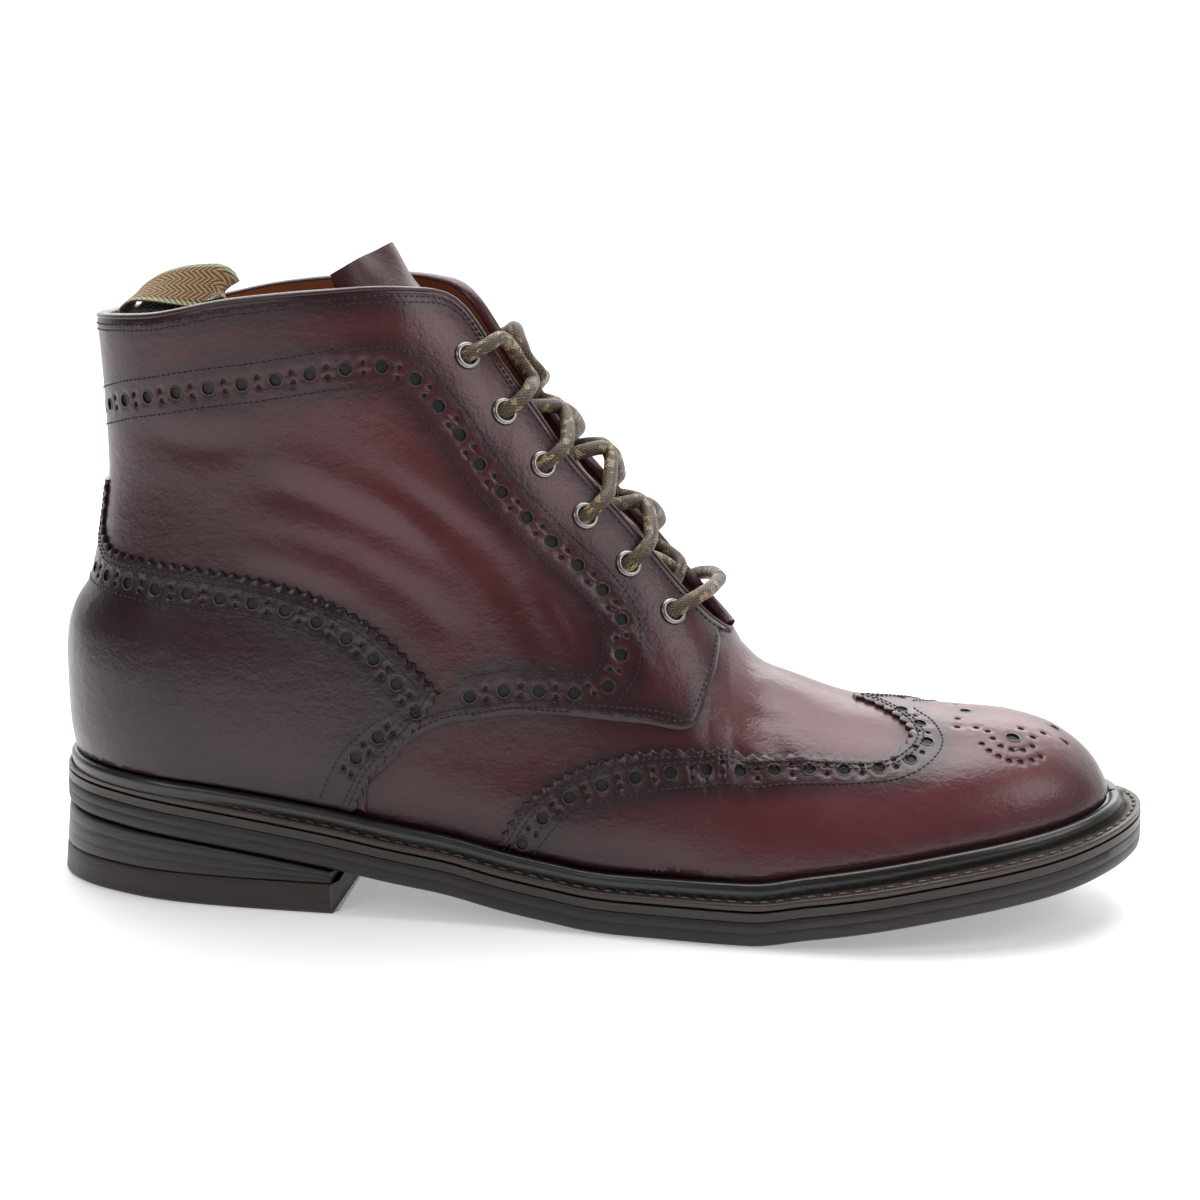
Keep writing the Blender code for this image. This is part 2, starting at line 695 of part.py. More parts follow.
def face_normal(side, x, z):
    d = 0.0004
    dx = (surface(side, x + d, z) - surface(side, x - d, z)) / (2 * d)
    dz = (surface(side, x, z + d) - surface(side, x, z - d)) / (2 * d)
    n = Vector((float(-dx), 1.0, float(-dz))) * side
    return n.normalized()


def eyelet_spot(side, x):
    """Middle of an eyelet on the upper's face and the face's normal there."""
    z = float(top_line(x))
    slope = (float(top_line(x + 0.001)) - float(top_line(x - 0.001))) / 0.002
    across = Vector((slope, 0.0, -1.0)).normalized()
    if across.x > 0:
        across = -across
    spot = Vector((x, float(surface(side, x, z)), z))
    gone = 0.0
    while gone < EYELET_BACK:
        px = spot.x + across.x * 0.0002
        pz = spot.z + across.z * 0.0002
        new = Vector((px, float(surface(side, px, pz)), pz))
        gone += (new - spot).length
        spot = new
    return spot, face_normal(side, spot.x, spot.z)


def build_eyelet(name, spot, normal):
    """Flat ring that seats on the facing."""
    lift = CLEAR + OVERLAY + 1.6 * CLEAR
    along = normal.orthogonal().normalized()
    across = normal.cross(along)
    sections = []
    count = 8
    for i in range(count):
        a = 2 * math.pi * i / count
        out = along * math.cos(a) + across * math.sin(a)
        base = spot + normal * lift
        top = spot + normal * (lift + EYELET_HEIGHT)
        sections.append([
            tuple(base + out * EYELET_BORE), tuple(base + out * EYELET_RADIUS),
            tuple(top + out * EYELET_RADIUS * 0.86), tuple(top + out * EYELET_BORE),
        ])
    return loft(name, sections, "nickel", around=True)


def tube(name, path, radius, colour):
    """Round bar along a path, with flat ends."""
    sections = []
    up = Vector((0.0, 0.0, 1.0))
    for i, p in enumerate(path):
        before = path[max(i - 1, 0)]
        after = path[min(i + 1, len(path) - 1)]
        run = (after - before).normalized()
        side = run.cross(up).normalized()
        top = side.cross(run)
        ring = []
        for k in range(6):
            a = 2 * math.pi * (k + 0.5) / 6
            ring.append(tuple(p + (side * math.cos(a) + top * math.sin(a)) * radius))
        sections.append(ring)
    return loft(name, sections, colour)


def over_instep(place, wide):
    """Point of the upper's face, run on over the throat, at a signed half width."""
    x0 = place * SOLE_LENGTH
    z0 = float(ridge(x0))
    slope = (float(ridge(x0 + 0.002)) - float(ridge(x0 - 0.002))) / 0.004
    inward = Vector((slope, 0.0, -1.0)).normalized()
    side = -1 if wide < 0 else 1
    low = 0.0
    high = 0.06
    while high - low > 0.00001:
        deep = (low + high) / 2
        if float(half_width(side, x0 + inward.x * deep, z0 + inward.z * deep)) < abs(wide):
            low = deep
        else:
            high = deep
    deep = low if abs(wide) > 0 else 0.0
    return Vector((x0 + inward.x * deep, wide + float(centre(x0)), z0 + inward.z * deep))


def lifted(place, wide, lift):
    """The same point, raised along the face's normal."""
    along = over_instep(place + 0.004, wide) - over_instep(place - 0.004, wide)
    across = over_instep(place, wide + 0.0015) - over_instep(place, wide - 0.0015)
    return over_instep(place, wide) + along.cross(across).normalized() * lift


def instep_place(spot):
    """Place on the ridge that an eyelet belongs to, and its signed half width."""
    best = None
    for i in range(161):
        place = 0.38 + 0.26 * i / 160
        wide = spot.y - float(centre(place * SOLE_LENGTH))
        gap = (over_instep(place, wide) - spot).length
        if best is None or gap < best[0]:
            best = (gap, place, wide)
    return best[1], best[2]


def lace_lift():
    return CLEAR + OVERLAY + 1.6 * CLEAR + EYELET_HEIGHT + 2.6 * CLEAR + LACE / 2


def lace_run(spots, start_side):
    """Zigzag from eyelet to eyelet over the throat, from the lowest pair up."""
    side = start_side
    ends = []
    for k in range(EYELETS - 1, -1, -1):
        ends.append(instep_place(spots[(side, k)][0]))
        side = -side
    path = []
    for a, b in zip(ends, ends[1:]):
        for t in (0.0, 0.2, 0.4, 0.6, 0.8):
            place = a[0] + (b[0] - a[0]) * t
            path.append(lifted(place, a[1] + (b[1] - a[1]) * t, lace_lift()))
    path.append(lifted(*ends[-1], lace_lift()))
    return path


def build_laces(spots):
    first = tube("laces", lace_run(spots, -1), LACE / 2, "lace")
    second = tube("lace_other_run", lace_run(spots, 1), LACE / 2, "lace")
    a = instep_place(spots[(-1, EYELETS - 1)][0])
    b = instep_place(spots[(1, EYELETS - 1)][0])
    bar = []
    for i in range(9):
        t = i / 8
        bar.append(lifted(a[0] + (b[0] - a[0]) * t, a[1] + (b[1] - a[1]) * t, lace_lift()))
    third = tube("lace_bar", bar, LACE / 2, "lace")
    for other in (second, third):
        other.hide_render = True
        other.display_type = "WIRE"
        join = first.modifiers.new("join", "BOOLEAN")
        join.operation = "UNION"
        join.solver = "EXACT"
        join.object = other
    return first


def build_tongue():
    """Curved plate that follows the inside of the instep and leans back at its tip."""
    places = np.array([0.655, 0.635, 0.615, 0.59, 0.565, 0.53, 0.50, 0.47, 0.44, 0.415, 0.395, 0.380, 0.366])
    shares = (-1.0, -0.8, -0.58, -0.36, -0.15, 0.15, 0.36, 0.58, 0.8, 1.0)
    points = []
    leans = []
    for place in places:
        x0 = place * SOLE_LENGTH
        z0 = float(ridge(x0))
        slope = (float(ridge(x0 + 0.002)) - float(ridge(x0 - 0.002))) / 0.004
        inward = Vector((slope, 0.0, -1.0)).normalized()
        for share in shares:
            side = -1 if share < 0 else 1
            wide = abs(share) * TONGUE_HALF
            deep = 0.0
            while deep < 0.05:
                x = x0 + inward.x * deep
                z = z0 + inward.z * deep
                if float(half_width(side, x, z)) >= wide:
                    break
                deep += 0.0002
            points.append((x0 + inward.x * deep, side * wide + float(centre(x0)), z0 + inward.z * deep))
            leans.append(TONGUE_LEAN * float(ease((0.44 - place) / 0.074)))
    n = len(shares)
    faces = []
    for i in range(len(places) - 1):
        for k in range(n - 1):
            a = i * n + k
            faces.append((a, a + 1, a + n + 1, a + n))
    points = np.array(points)
    normals = vertex_normals(points, faces)
    if normals[n // 2][2] < 0:
        faces = [tuple(reversed(ring)) for ring in faces]
        normals = -normals
    moved = points.copy()
    moved[:, 0] -= np.array(leans)
    outer = -(WALL + 5 * CLEAR)
    return shell("tongue", moved, normals, faces, outer - TONGUE, outer, "dark leather")


def build_loop():
    """Webbing loop at the back of the collar: path in the side view, then turn of its width."""
    back = float(backline(FEATHER_BACK + SHAFT_RISE))
    top = FEATHER_BACK + SHAFT_RISE
    rows = [
        (0.0071, -0.0140, 0.0), (0.0071, -0.0050, 0.0), (0.0096, 0.0018, 0.25),
        (0.0160, 0.0054, 0.60), (0.0250, 0.0068, 0.72), (0.0320, 0.0083, 0.72),
        (0.0352, 0.0108, 0.72), (0.0322, 0.0136, 0.72), (0.0250, 0.0135, 0.72),
        (0.0172, 0.0116, 0.60), (0.0096, 0.0080, 0.25), (0.0054, 0.0012, 0.0),
        (0.0049, -0.0060, 0.0), (0.0049, -0.0140, 0.0),
    ]
    path = [Vector((back + dx + 2 * CLEAR, 0.0, top + dz)) for dx, dz, turn in rows]
    sections = []
    for i, p in enumerate(path):
        run = (path[min(i + 1, len(path) - 1)] - path[max(i - 1, 0)]).normalized()
        turn = rows[i][2]
        wide = Vector((0.0, math.cos(turn), math.sin(turn)))
        wide = (wide - run * wide.dot(run)).normalized()
        thick = run.cross(wide).normalized()
        w = wide * (LOOP_WIDTH / 2)
        h = thick * (LOOP_THICKNESS / 2)
        sections.append([tuple(p - w - h), tuple(p + w - h), tuple(p + w + h), tuple(p - w + h)])
    return loft("pull_loop", sections, "webbing")


def build():
    clear_scene()
    build_plate("outsole", 0.0, OUTSOLE, 0.0, "rubber", step=(TREAD_EDGE, TREAD_LIFT))
    build_plate("midsole", OUTSOLE + CLEAR, OUTSOLE + MIDSOLE, 0.0004, "welt")
    points, quads, foot = base_surface()
    build_welt(points, foot)
    build_heel("top_piece", 0.0, TOP_PIECE, "rubber")
    build_heel("heel", TOP_PIECE + CLEAR, None, "heel")
    build_insole()

    rings = [ring for ring, side in quads]
    normals = vertex_normals(points, rings)
    shell("upper", points, normals, rings, -WALL, 0.0, "leather")
    low = CLEAR
    high = CLEAR + OVERLAY
    far = BALL_WIDTH

    counter = shell("counter", points, normals, rings, low + high, 2 * high, "dark leather")
    line = pattern(COUNTER_LINE)[:-1]
    line += above_bead(COUNTER_LINE[-1][0], 0.0, 6)
    line += [(-0.02, float(line[-1][1])), (-0.02, pattern(COUNTER_LINE)[0][1])]
    keep_inside(counter, "counter_pattern", line, -far, far)

    wing = shell("wing_cap", points, normals, rings, low, high, "leather")
    line = [(SOLE_LENGTH + 0.02, FEATHER_BACK + SHAFT_RISE)]
    line += [(pattern(WING_LINE)[-1][0], FEATHER_BACK + SHAFT_RISE)]
    line += list(reversed(pattern(WING_LINE)[1:-1]))
    line += above_bead(WING_LINE[0][0], FOOT_END / SOLE_LENGTH, 8)
    line += [(SOLE_LENGTH + 0.02, line[-1][1])]
    keep_inside(wing, "wing_pattern", line, -far, far)

    for side, word in ((-1, "lateral"), (1, "medial")):
        mine = [ring for ring, s in quads if s == side]
        quarter = shell("quarter_" + word, points, normals, mine, low, high, "leather")
        peak = FEATHER_BACK + SHAFT_RISE * 1.5
        line = pattern(QUARTER_LINE)[1:]
        line += [(THROAT_PLACE, float(ridge(THROAT_PLACE)) + 0.02), (THROAT_PLACE, peak)]
        line += [(-0.02, peak), (-0.02, above_bead(0.0, 0.1, 1)[0][1])]
        line += list(reversed(above_bead(QUARTER_LINE[0][0], 0.0, 6)))
        keep_inside(quarter, "quarter_pattern_" + word, line, side * CLEAR * 0.6, side * far)

    build_tongue()
    spots = {}
    for k, x in enumerate(facing_edge(EYELETS)):
        for side, word in ((-1, "lateral"), (1, "medial")):
            spots[(side, k)] = eyelet_spot(side, x)
            build_eyelet("eyelet_%s_%d" % (word, k + 1), *spots[(side, k)])
    build_laces(spots)
    build_loop()


build()
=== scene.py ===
# %% [markdown]
# # Brogue boot, right foot
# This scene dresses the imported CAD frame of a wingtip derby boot: burgundy leather with
# perforated overlays, a storm welt, a stacked heel and waxed laces. The frame comes first,
# because every piece below has to sit where the solids are.
# %% Load the frame
import math
import random

import bmesh
import bpy
import numpy as np
from mathutils import Matrix, Vector
from mathutils.geometry import delaunay_2d_cdt


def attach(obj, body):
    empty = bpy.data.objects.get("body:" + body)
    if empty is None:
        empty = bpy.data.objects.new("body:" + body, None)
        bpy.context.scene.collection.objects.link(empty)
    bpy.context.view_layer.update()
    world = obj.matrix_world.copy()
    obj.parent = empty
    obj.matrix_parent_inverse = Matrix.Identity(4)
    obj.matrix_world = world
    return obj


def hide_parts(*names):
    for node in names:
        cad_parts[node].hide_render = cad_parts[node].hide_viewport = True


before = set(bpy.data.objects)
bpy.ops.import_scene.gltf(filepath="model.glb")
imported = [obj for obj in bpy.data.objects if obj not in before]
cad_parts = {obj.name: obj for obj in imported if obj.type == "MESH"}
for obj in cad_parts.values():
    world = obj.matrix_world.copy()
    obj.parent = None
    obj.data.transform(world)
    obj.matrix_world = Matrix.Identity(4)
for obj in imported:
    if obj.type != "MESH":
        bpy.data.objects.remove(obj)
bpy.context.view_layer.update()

print("frame nodes:", len(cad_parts))

# %% [markdown]
# ## Sizes of the last
# A boot's shape is the shape of its last. The same tables that made the solids are written
# here again, so that the fine pieces lie on the same surface. Reading the shape back from the
# solids was the other way, but their facets would show through every highlight.
# %% Sizes and tables
SOLE_LENGTH = 0.3035
BALL_WIDTH = 0.108
HEEL_LENGTH = 0.083
HEEL_RISE = 0.0204
TOE_SPRING = 0.0181
OUTSOLE = 0.0070
MIDSOLE = 0.0026
WELT = 0.0022
BEAD_HEIGHT = 0.0042
BEAD_WIDTH = 0.0040
WELT_FLANGE = 0.0075
INSOLE = 0.0030
HEEL_FLARE = 0.0015
TOP_PIECE = 0.0085
WALL = 0.0021
OVERLAY = 0.0009
TONGUE = 0.0018
TONGUE_HALF = 0.026
TONGUE_LEAN = 0.013
EYELETS = 6
EYELET_BACK = 0.0092
LACE = 0.0038
LOOP_WIDTH = 0.0145
LOOP_THICKNESS = 0.0013
FOOT_BACK = 0.0061
FOOT_FRONT = 0.0090
INSTEP_RISE = 0.0595
SHAFT_RISE = 0.1262
THROAT_PLACE = 0.6237 * SOLE_LENGTH
THROAT_DROP = 0.0066
CLEAR = 0.0003
HEEL_ROUND = 0.036
TOE_ROUND = 0.078
SHIFT = -HEEL_LENGTH / 2

OUTLINE = [
    (0.00, 0.298, 0.306), (0.06, 0.302, 0.314), (0.11, 0.3215, 0.326),
    (0.17, 0.350, 0.333), (0.26, 0.373, 0.322), (0.35, 0.3865, 0.298),
    (0.45, 0.421, 0.300), (0.55, 0.4685, 0.352), (0.65, 0.5045, 0.440),
    (0.73, 0.513, 0.486), (0.81, 0.5095, 0.508), (0.89, 0.5085, 0.520),
    (1.00, 0.511, 0.528),
]
UNDERSIDE = [
    (0.00, 1.00, 0), (0.13, 0.873, 0), (0.26, 0.632, 0), (0.33, 0.445, 0),
    (0.38, 0.333, 0), (0.43, 0.177, 0), (0.475, 0.075, 0), (0.51, 0.012, 0),
    (0.535, 0, 0), (0.650, 0, 0), (0.70, 0, 0.130), (0.76, 0, 0.288),
    (0.82, 0, 0.459), (0.87, 0, 0.583), (0.92, 0, 0.711), (1.00, 0, 1.00),
]
RIDGE = [
    (0.00, 1.0, 2.00), (0.20, 1.0, 1.33), (0.33, 1.0, 0.912), (0.356, 1.0, 0.810),
    (0.385, 1.0, 0.713), (0.41, 1.0, 0.630), (0.44, 1.0, 0.545), (0.471, 1.0, 0.454),
    (0.507, 1.0, 0.368), (0.543, 1.0, 0.275), (0.563, 1.0, 0.2185), (0.589, 1.0, 0.137),
    (0.606, 1.0, 0.0785), (0.622, 0.988, 0.030), (0.636, 0.942, 0.0), (0.648, 0.889, 0.0),
    (0.674, 0.818, 0.0), (0.704, 0.733, 0.0), (0.731, 0.669, 0.0), (0.756, 0.628, 0.0),
    (0.782, 0.585, 0.0), (0.809, 0.541, 0.0), (0.835, 0.514, 0.0), (0.861, 0.492, 0.0),
    (0.887, 0.459, 0.0), (0.913, 0.406, 0.0), (0.936, 0.319, 0.0), (0.952, 0.227, 0.0),
    (0.9625, 0.128, 0.0), (0.9705, 0.0, 0.0),
]
COLLAR = [
    (0.03, 0.998), (0.065, 1.006), (0.108, 1.015), (0.187, 1.053), (0.262, 1.074),
    (0.314, 1.082), (0.345, 1.078), (0.40, 1.070), (0.45, 1.055),
]
BACKLINE = [
    (0.00, 0.0203), (0.035, 0.0173), (0.09, 0.0132), (0.17, 0.0115), (0.25, 0.0110),
    (0.31, 0.0130), (0.36, 0.0196), (0.41, 0.0324), (0.475, 0.0398), (0.56, 0.0459),
    (0.63, 0.0494), (0.68, 0.0500), (0.74, 0.0494), (0.86, 0.0470), (0.94, 0.0447),
    (1.00, 0.0426), (1.20, 0.0375),
]
PLACES = (0.0, 0.13, 0.26, 0.36, 0.46, 0.555, 0.65, 0.78, 1.0)
OUTSIDE = [
    (0.00, 0.265, 0.284, 0.305, 0.322, 0.356, 0.397, 0.422, 0.410, 0.392),
    (0.10, 0.282, 0.303, 0.322, 0.337, 0.368, 0.407, 0.430, 0.416, 0.398),
    (0.24, 0.292, 0.308, 0.321, 0.329, 0.345, 0.382, 0.428, 0.425, 0.412),
    (0.48, 0.262, 0.272, 0.298, 0.310, 0.320, 0.330, 0.36, 0.36, 0.36),
    (0.72, 0.252, 0.264, 0.296, 0.306, 0.304, 0.30, 0.30, 0.30, 0.30),
    (1.05, 0.282, 0.302, 0.318, 0.312, 0.290, 0.28, 0.28, 0.28, 0.28),
    (1.40, 0.300, 0.320, 0.330, 0.312, 0.290, 0.28, 0.28, 0.28, 0.28),
]
INSIDE = [
    (0.00, 0.262, 0.276, 0.262, 0.236, 0.240, 0.292, 0.366, 0.428, 0.448),
    (0.10, 0.284, 0.300, 0.292, 0.274, 0.284, 0.332, 0.392, 0.436, 0.452),
    (0.24, 0.292, 0.306, 0.302, 0.298, 0.308, 0.340, 0.392, 0.436, 0.452),
    (0.48, 0.262, 0.272, 0.292, 0.302, 0.304, 0.312, 0.34, 0.36, 0.36),
    (0.72, 0.252, 0.264, 0.292, 0.302, 0.298, 0.29, 0.30, 0.30, 0.30),
    (1.05, 0.282, 0.302, 0.318, 0.312, 0.290, 0.28, 0.28, 0.28, 0.28),
    (1.40, 0.300, 0.320, 0.330, 0.312, 0.290, 0.28, 0.28, 0.28, 0.28),
]
SWING = [(0.0, 0.0), (0.35, 0.0), (0.55, 0.018), (0.70, 0.034), (0.85, 0.020), (0.97, 0.0)]
FACING_STOPS = (0.0, 0.12, 0.25, 0.38, 0.52, 0.66, 0.79, 0.885, 0.93, 0.97, 1.0)
COLLAR_FRONT = 0.380
FOOT_UNDER_COLLAR = 0.367
FOOT_UNDER_THROAT = 0.640

# %% [markdown]
# ## The surface of the last
# One function gives the sideways place of the upper for any place and height. Round ends, a
# round instep and the swing of the foot are all in it, which is what keeps the boot from
# looking boxy.
# %% Last functions
def smooth(rows, column=1):
    """Monotone cubic curve through the rows of a table."""
    x = np.array([row[0] for row in rows], float)
    y = np.array([row[column] for row in rows], float)
    h = np.diff(x)
    d = np.diff(y) / h
    m = np.zeros(len(x))
    m[0] = d[0]
    m[-1] = d[-1]
    for i in range(1, len(x) - 1):
        if d[i - 1] * d[i] > 0:
            w1 = 2 * h[i] + h[i - 1]
            w2 = h[i] + 2 * h[i - 1]
            m[i] = (w1 + w2) / (w1 / d[i - 1] + w2 / d[i])

    def value(v):
        v = np.clip(v, x[0], x[-1])
        k = np.clip(np.searchsorted(x, v, side="right") - 1, 0, len(x) - 2)
        t = (v - x[k]) / h[k]
        a = (2 * t ** 3 - 3 * t ** 2 + 1) * y[k] + (t ** 3 - 2 * t ** 2 + t) * h[k] * m[k]
        return a + (3 * t ** 2 - 2 * t ** 3) * y[k + 1] + (t ** 3 - t ** 2) * h[k] * m[k + 1]

    # a fine table of the curve is much quicker to read than the curve itself
    fine = np.linspace(x[0], x[-1], 8001)
    table = value(fine)
    return lambda v: np.interp(v, fine, table)


outline_out = smooth(OUTLINE, 1)
outline_in = smooth(OUTLINE, 2)
heel_part = smooth(UNDERSIDE, 1)
toe_part = smooth(UNDERSIDE, 2)
ridge_instep = smooth(RIDGE, 1)
ridge_shaft = smooth(RIDGE, 2)
collar_share = smooth(COLLAR)
backline_share = smooth(BACKLINE)
swing_share = smooth(SWING)
rows_out = [smooth([(p, row[i + 1]) for i, p in enumerate(PLACES)]) for row in OUTSIDE]
rows_in = [smooth([(p, row[i + 1]) for i, p in enumerate(PLACES)]) for row in INSIDE]
HEIGHTS = np.array([row[0] for row in OUTSIDE])
ROUNDING = smooth([(0.0, 0.62), (0.38, 0.60), (0.46, 0.56), (0.54, 0.52), (0.61, 0.49),
                   (0.66, 0.48), (1.0, 0.48)])
FULLNESS = smooth([(0.0, 2.1), (0.6, 2.1), (0.75, 2.3), (0.86, 2.7), (1.0, 2.7)])
SOLE_STACK = OUTSOLE + MIDSOLE + WELT
FOOT_END = SOLE_LENGTH - FOOT_FRONT


def ease(t):
    t = np.clip(t, 0.0, 1.0)
    return t * t * (3 - 2 * t)


def underside(x):
    t = x / SOLE_LENGTH
    return HEEL_RISE * heel_part(t) + TOE_SPRING * toe_part(t)


def feather(x):
    return underside(x) + SOLE_STACK + CLEAR


FEATHER_BACK = float(feather(FOOT_BACK))


def ridge(x):
    t = x / SOLE_LENGTH
    return feather(x) + INSTEP_RISE * ridge_instep(t) + SHAFT_RISE * ridge_shaft(t)


def backline(z):
    return SOLE_LENGTH * backline_share((z - FEATHER_BACK) / SHAFT_RISE)


def round_end(t):
    t = np.clip(t, 0.0, 1.0)
    return np.sqrt(1 - (1 - t) ** 2)


def full_width(side, x, h):
    rows = rows_out if side < 0 else rows_in
    t = x / SOLE_LENGTH
    share = np.clip(h / SHAFT_RISE, HEIGHTS[0], HEIGHTS[-1])
    values = np.array([row(t) for row in rows])
    k = np.clip(np.searchsorted(HEIGHTS, share, side="right") - 1, 0, len(HEIGHTS) - 2)
    slopes = np.gradient(values, HEIGHTS, axis=0)
    step = HEIGHTS[k + 1] - HEIGHTS[k]
    u = (share - HEIGHTS[k]) / step
    low = np.take_along_axis(values, np.expand_dims(k, 0), 0)[0]
    high = np.take_along_axis(values, np.expand_dims(k + 1, 0), 0)[0]
    m0 = np.take_along_axis(slopes, np.expand_dims(k, 0), 0)[0]
    m1 = np.take_along_axis(slopes, np.expand_dims(k + 1, 0), 0)[0]
    a = (2 * u ** 3 - 3 * u ** 2 + 1) * low + (u ** 3 - 2 * u ** 2 + u) * step * m0
    b = (3 * u ** 2 - 2 * u ** 3) * high + (u ** 3 - u ** 2) * step * m1
    return BALL_WIDTH * (a + b)


def half_width(side, x, z):
    x = np.asarray(x, float)
    z = np.asarray(z, float)
    t = x / SOLE_LENGTH
    h = np.maximum(z - feather(x), 0.0)
    heel = round_end((x - backline(z)) / HEEL_ROUND)
    toe = round_end((FOOT_END - x) / TOE_ROUND)
    top = ridge(x)
    tall = top - feather(x)
    most = (INSTEP_RISE + SHAFT_RISE) * 0.75 * ROUNDING(t)
    reach = np.where(t > 0.66, tall, np.minimum(tall, most))
    q = np.clip((top - z) / np.maximum(reach, 1e-6), 0.0, 1.0)
    over = np.sqrt(np.clip(1 - (1 - q) ** FULLNESS(t), 0.0, 1.0))
    return full_width(side, x, h) * heel * toe * over


def centre(x):
    return BALL_WIDTH * swing_share(x / SOLE_LENGTH)


def surface(side, x, z):
    tall = np.maximum(ridge(x) - feather(x), 1e-6)
    lift = ease((z - feather(x)) / tall)
    return side * half_width(side, x, z) + centre(x) * lift


def top_line(x):
    t = x / SOLE_LENGTH
    collar = FEATHER_BACK + SHAFT_RISE * collar_share(t)
    end = THROAT_DROP * 3.0
    s = np.clip((x - (THROAT_PLACE - end)) / end, 0.0, 1.0)
    facing = ridge(x) - THROAT_DROP * (1 - s ** 2)
    soft = 0.0035
    low = -soft * np.logaddexp(-collar / soft, -facing / soft)
    return np.where(x >= THROAT_PLACE, ridge(x), np.where(t > 0.45, facing, low))


# %% [markdown]
# ## A map over the upper
# Leather is cut flat and pulled over the last, so a pattern needs a flat map of the curved
# surface. Here u runs from the back seam to the toe and v from the welt to the top edge. The
# "back" map runs across the back seam and the "top" map across the ridge, so that the counter
# and the wing cap are each one piece, as they are in the shop.
# %% The map and its frame
BACK_TOP = float(backline(FEATHER_BACK + SHAFT_RISE * float(collar_share(0.04))))


def stations(u):
    """Places at the feather and at the top line, and the spread of the rows."""
    u = np.clip(u, 0.0, 3.0)
    front_top = COLLAR_FRONT * SOLE_LENGTH
    front_foot = FOOT_UNDER_COLLAR * SOLE_LENGTH
    throat_foot = FOOT_UNDER_THROAT * SOLE_LENGTH
    a = 1 - np.cos(np.clip(u, 0, 1) * math.pi / 2)
    b = np.interp(np.clip(u - 1, 0, 1) * 10, range(11), FACING_STOPS)
    c = np.sin(np.clip(u - 2, 0, 1) * math.pi / 2)
    foot = FOOT_BACK + (front_foot - FOOT_BACK) * a
    foot = foot + (throat_foot - front_foot) * b + (FOOT_END - throat_foot) * c
    top = BACK_TOP + (front_top - BACK_TOP) * a
    top = top + (THROAT_PLACE - front_top) * b + (FOOT_END - THROAT_PLACE) * c
    index = np.where(u < 2, u * 10, 20 + (u - 2) * 12)
    return foot, top, ease((index - 7) / 13.0)


def map_side(side, u, s):
    """Points of the outer face; u from 0 at the back to 3 at the toe, s from 0 to 1."""
    foot, top, blend = stations(u)
    s = np.clip(s, 0.0, 1.0)
    v = (1 - blend) * s + blend * np.sin(s * math.pi / 2)
    low = feather(foot)
    z = low + (top_line(top) - low) * v
    start = FOOT_BACK + (BACK_TOP - FOOT_BACK) * v
    x = foot + (top - foot) * v
    near = 1 - ease((x - start) / (0.30 * SOLE_LENGTH))
    x = x + (backline(z) - start) * near
    y = surface(side, x, z)
    y = np.where(u <= 1e-9, 0.0, y)
    y = np.where((s >= 1 - 1e-9) & (u >= 2 - 1e-9), centre(x), y)
    return np.stack([x, y, z], -1)


def on_map(kind, q):
    """Points for an array of (a, b) places on one of the four maps."""
    a, b = q[:, 0], q[:, 1]
    if kind == "lateral":
        return map_side(-1, a, b)
    if kind == "medial":
        return map_side(1, a, b)
    if kind == "back":
        first = a >= 0
        return np.where(first[:, None], map_side(-1, np.abs(a), b), map_side(1, np.abs(a), b))
    s = np.where(b <= 1, b, 2 - b)
    return np.where((b <= 1)[:, None], map_side(-1, a, s), map_side(1, a, s))


EDGE_LOW = {"lateral": (0, 0), "medial": (0, 0), "back": (-3, 0), "top": (0, 0)}
EDGE_HIGH = {"lateral": (3, 1), "medial": (3, 1), "back": (3, 1), "top": (3, 2)}


def slopes(kind, q):
    """How a point moves when its place on the map moves, along a and along b."""
    d = 0.002
    out = []
    for axis in (0, 1):
        step = np.zeros(2)
        step[axis] = d
        plus = np.minimum(q + step, EDGE_HIGH[kind])
        minus = np.maximum(q - step, EDGE_LOW[kind])
        wide = (plus - minus)[:, axis]
        out.append((on_map(kind, plus) - on_map(kind, minus)) / wide[:, None])
    return out


def normals_at(kind, q):
    q = np.clip(q, np.array(EDGE_LOW[kind]) + 0.0, np.array(EDGE_HIGH[kind]) - 0.0)
    inner = q.copy()
    inner[:, 0] = np.clip(inner[:, 0], EDGE_LOW[kind][0] + 0.004, 2.985)
    if kind in ("back", "lateral", "medial"):
        inner[:, 1] = np.clip(inner[:, 1], 0.004, 0.996)
    along, up = slopes(kind, inner)
    n = np.cross(along, up)
    if kind == "medial":
        n = -n
    return n / np.maximum(np.linalg.norm(n, axis=1), 1e-12)[:, None]


def shifted(kind, q, move):
    """Map places after a move in space, found in a few corrected steps."""
    target = on_map(kind, q) + move
    low, high = np.array(EDGE_LOW[kind]), np.array(EDGE_HIGH[kind])
    for turn in range(4):
        along, up = slopes(kind, q)
        rest = target - on_map(kind, q)
        aa = (along * along).sum(1)
        bb = (up * up).sum(1)
        ab = (along * up).sum(1)
        ma = (along * rest).sum(1)
        mb = (up * rest).sum(1)
        det = np.maximum(aa * bb - ab * ab, 1e-14)
        step = np.stack([(ma * bb - mb * ab) / det, (mb * aa - ma * ab) / det], -1)
        q = np.clip(q + np.clip(step, -0.06, 0.06), low, high)
    return q


GRID_U, GRID_S = np.meshgrid(np.linspace(0, 3, 451), np.linspace(0, 1, 161), indexing="ij")
GRID_POINTS = {
    side: map_side(side, GRID_U.ravel(), GRID_S.ravel()) for side in (-1, 1)
}


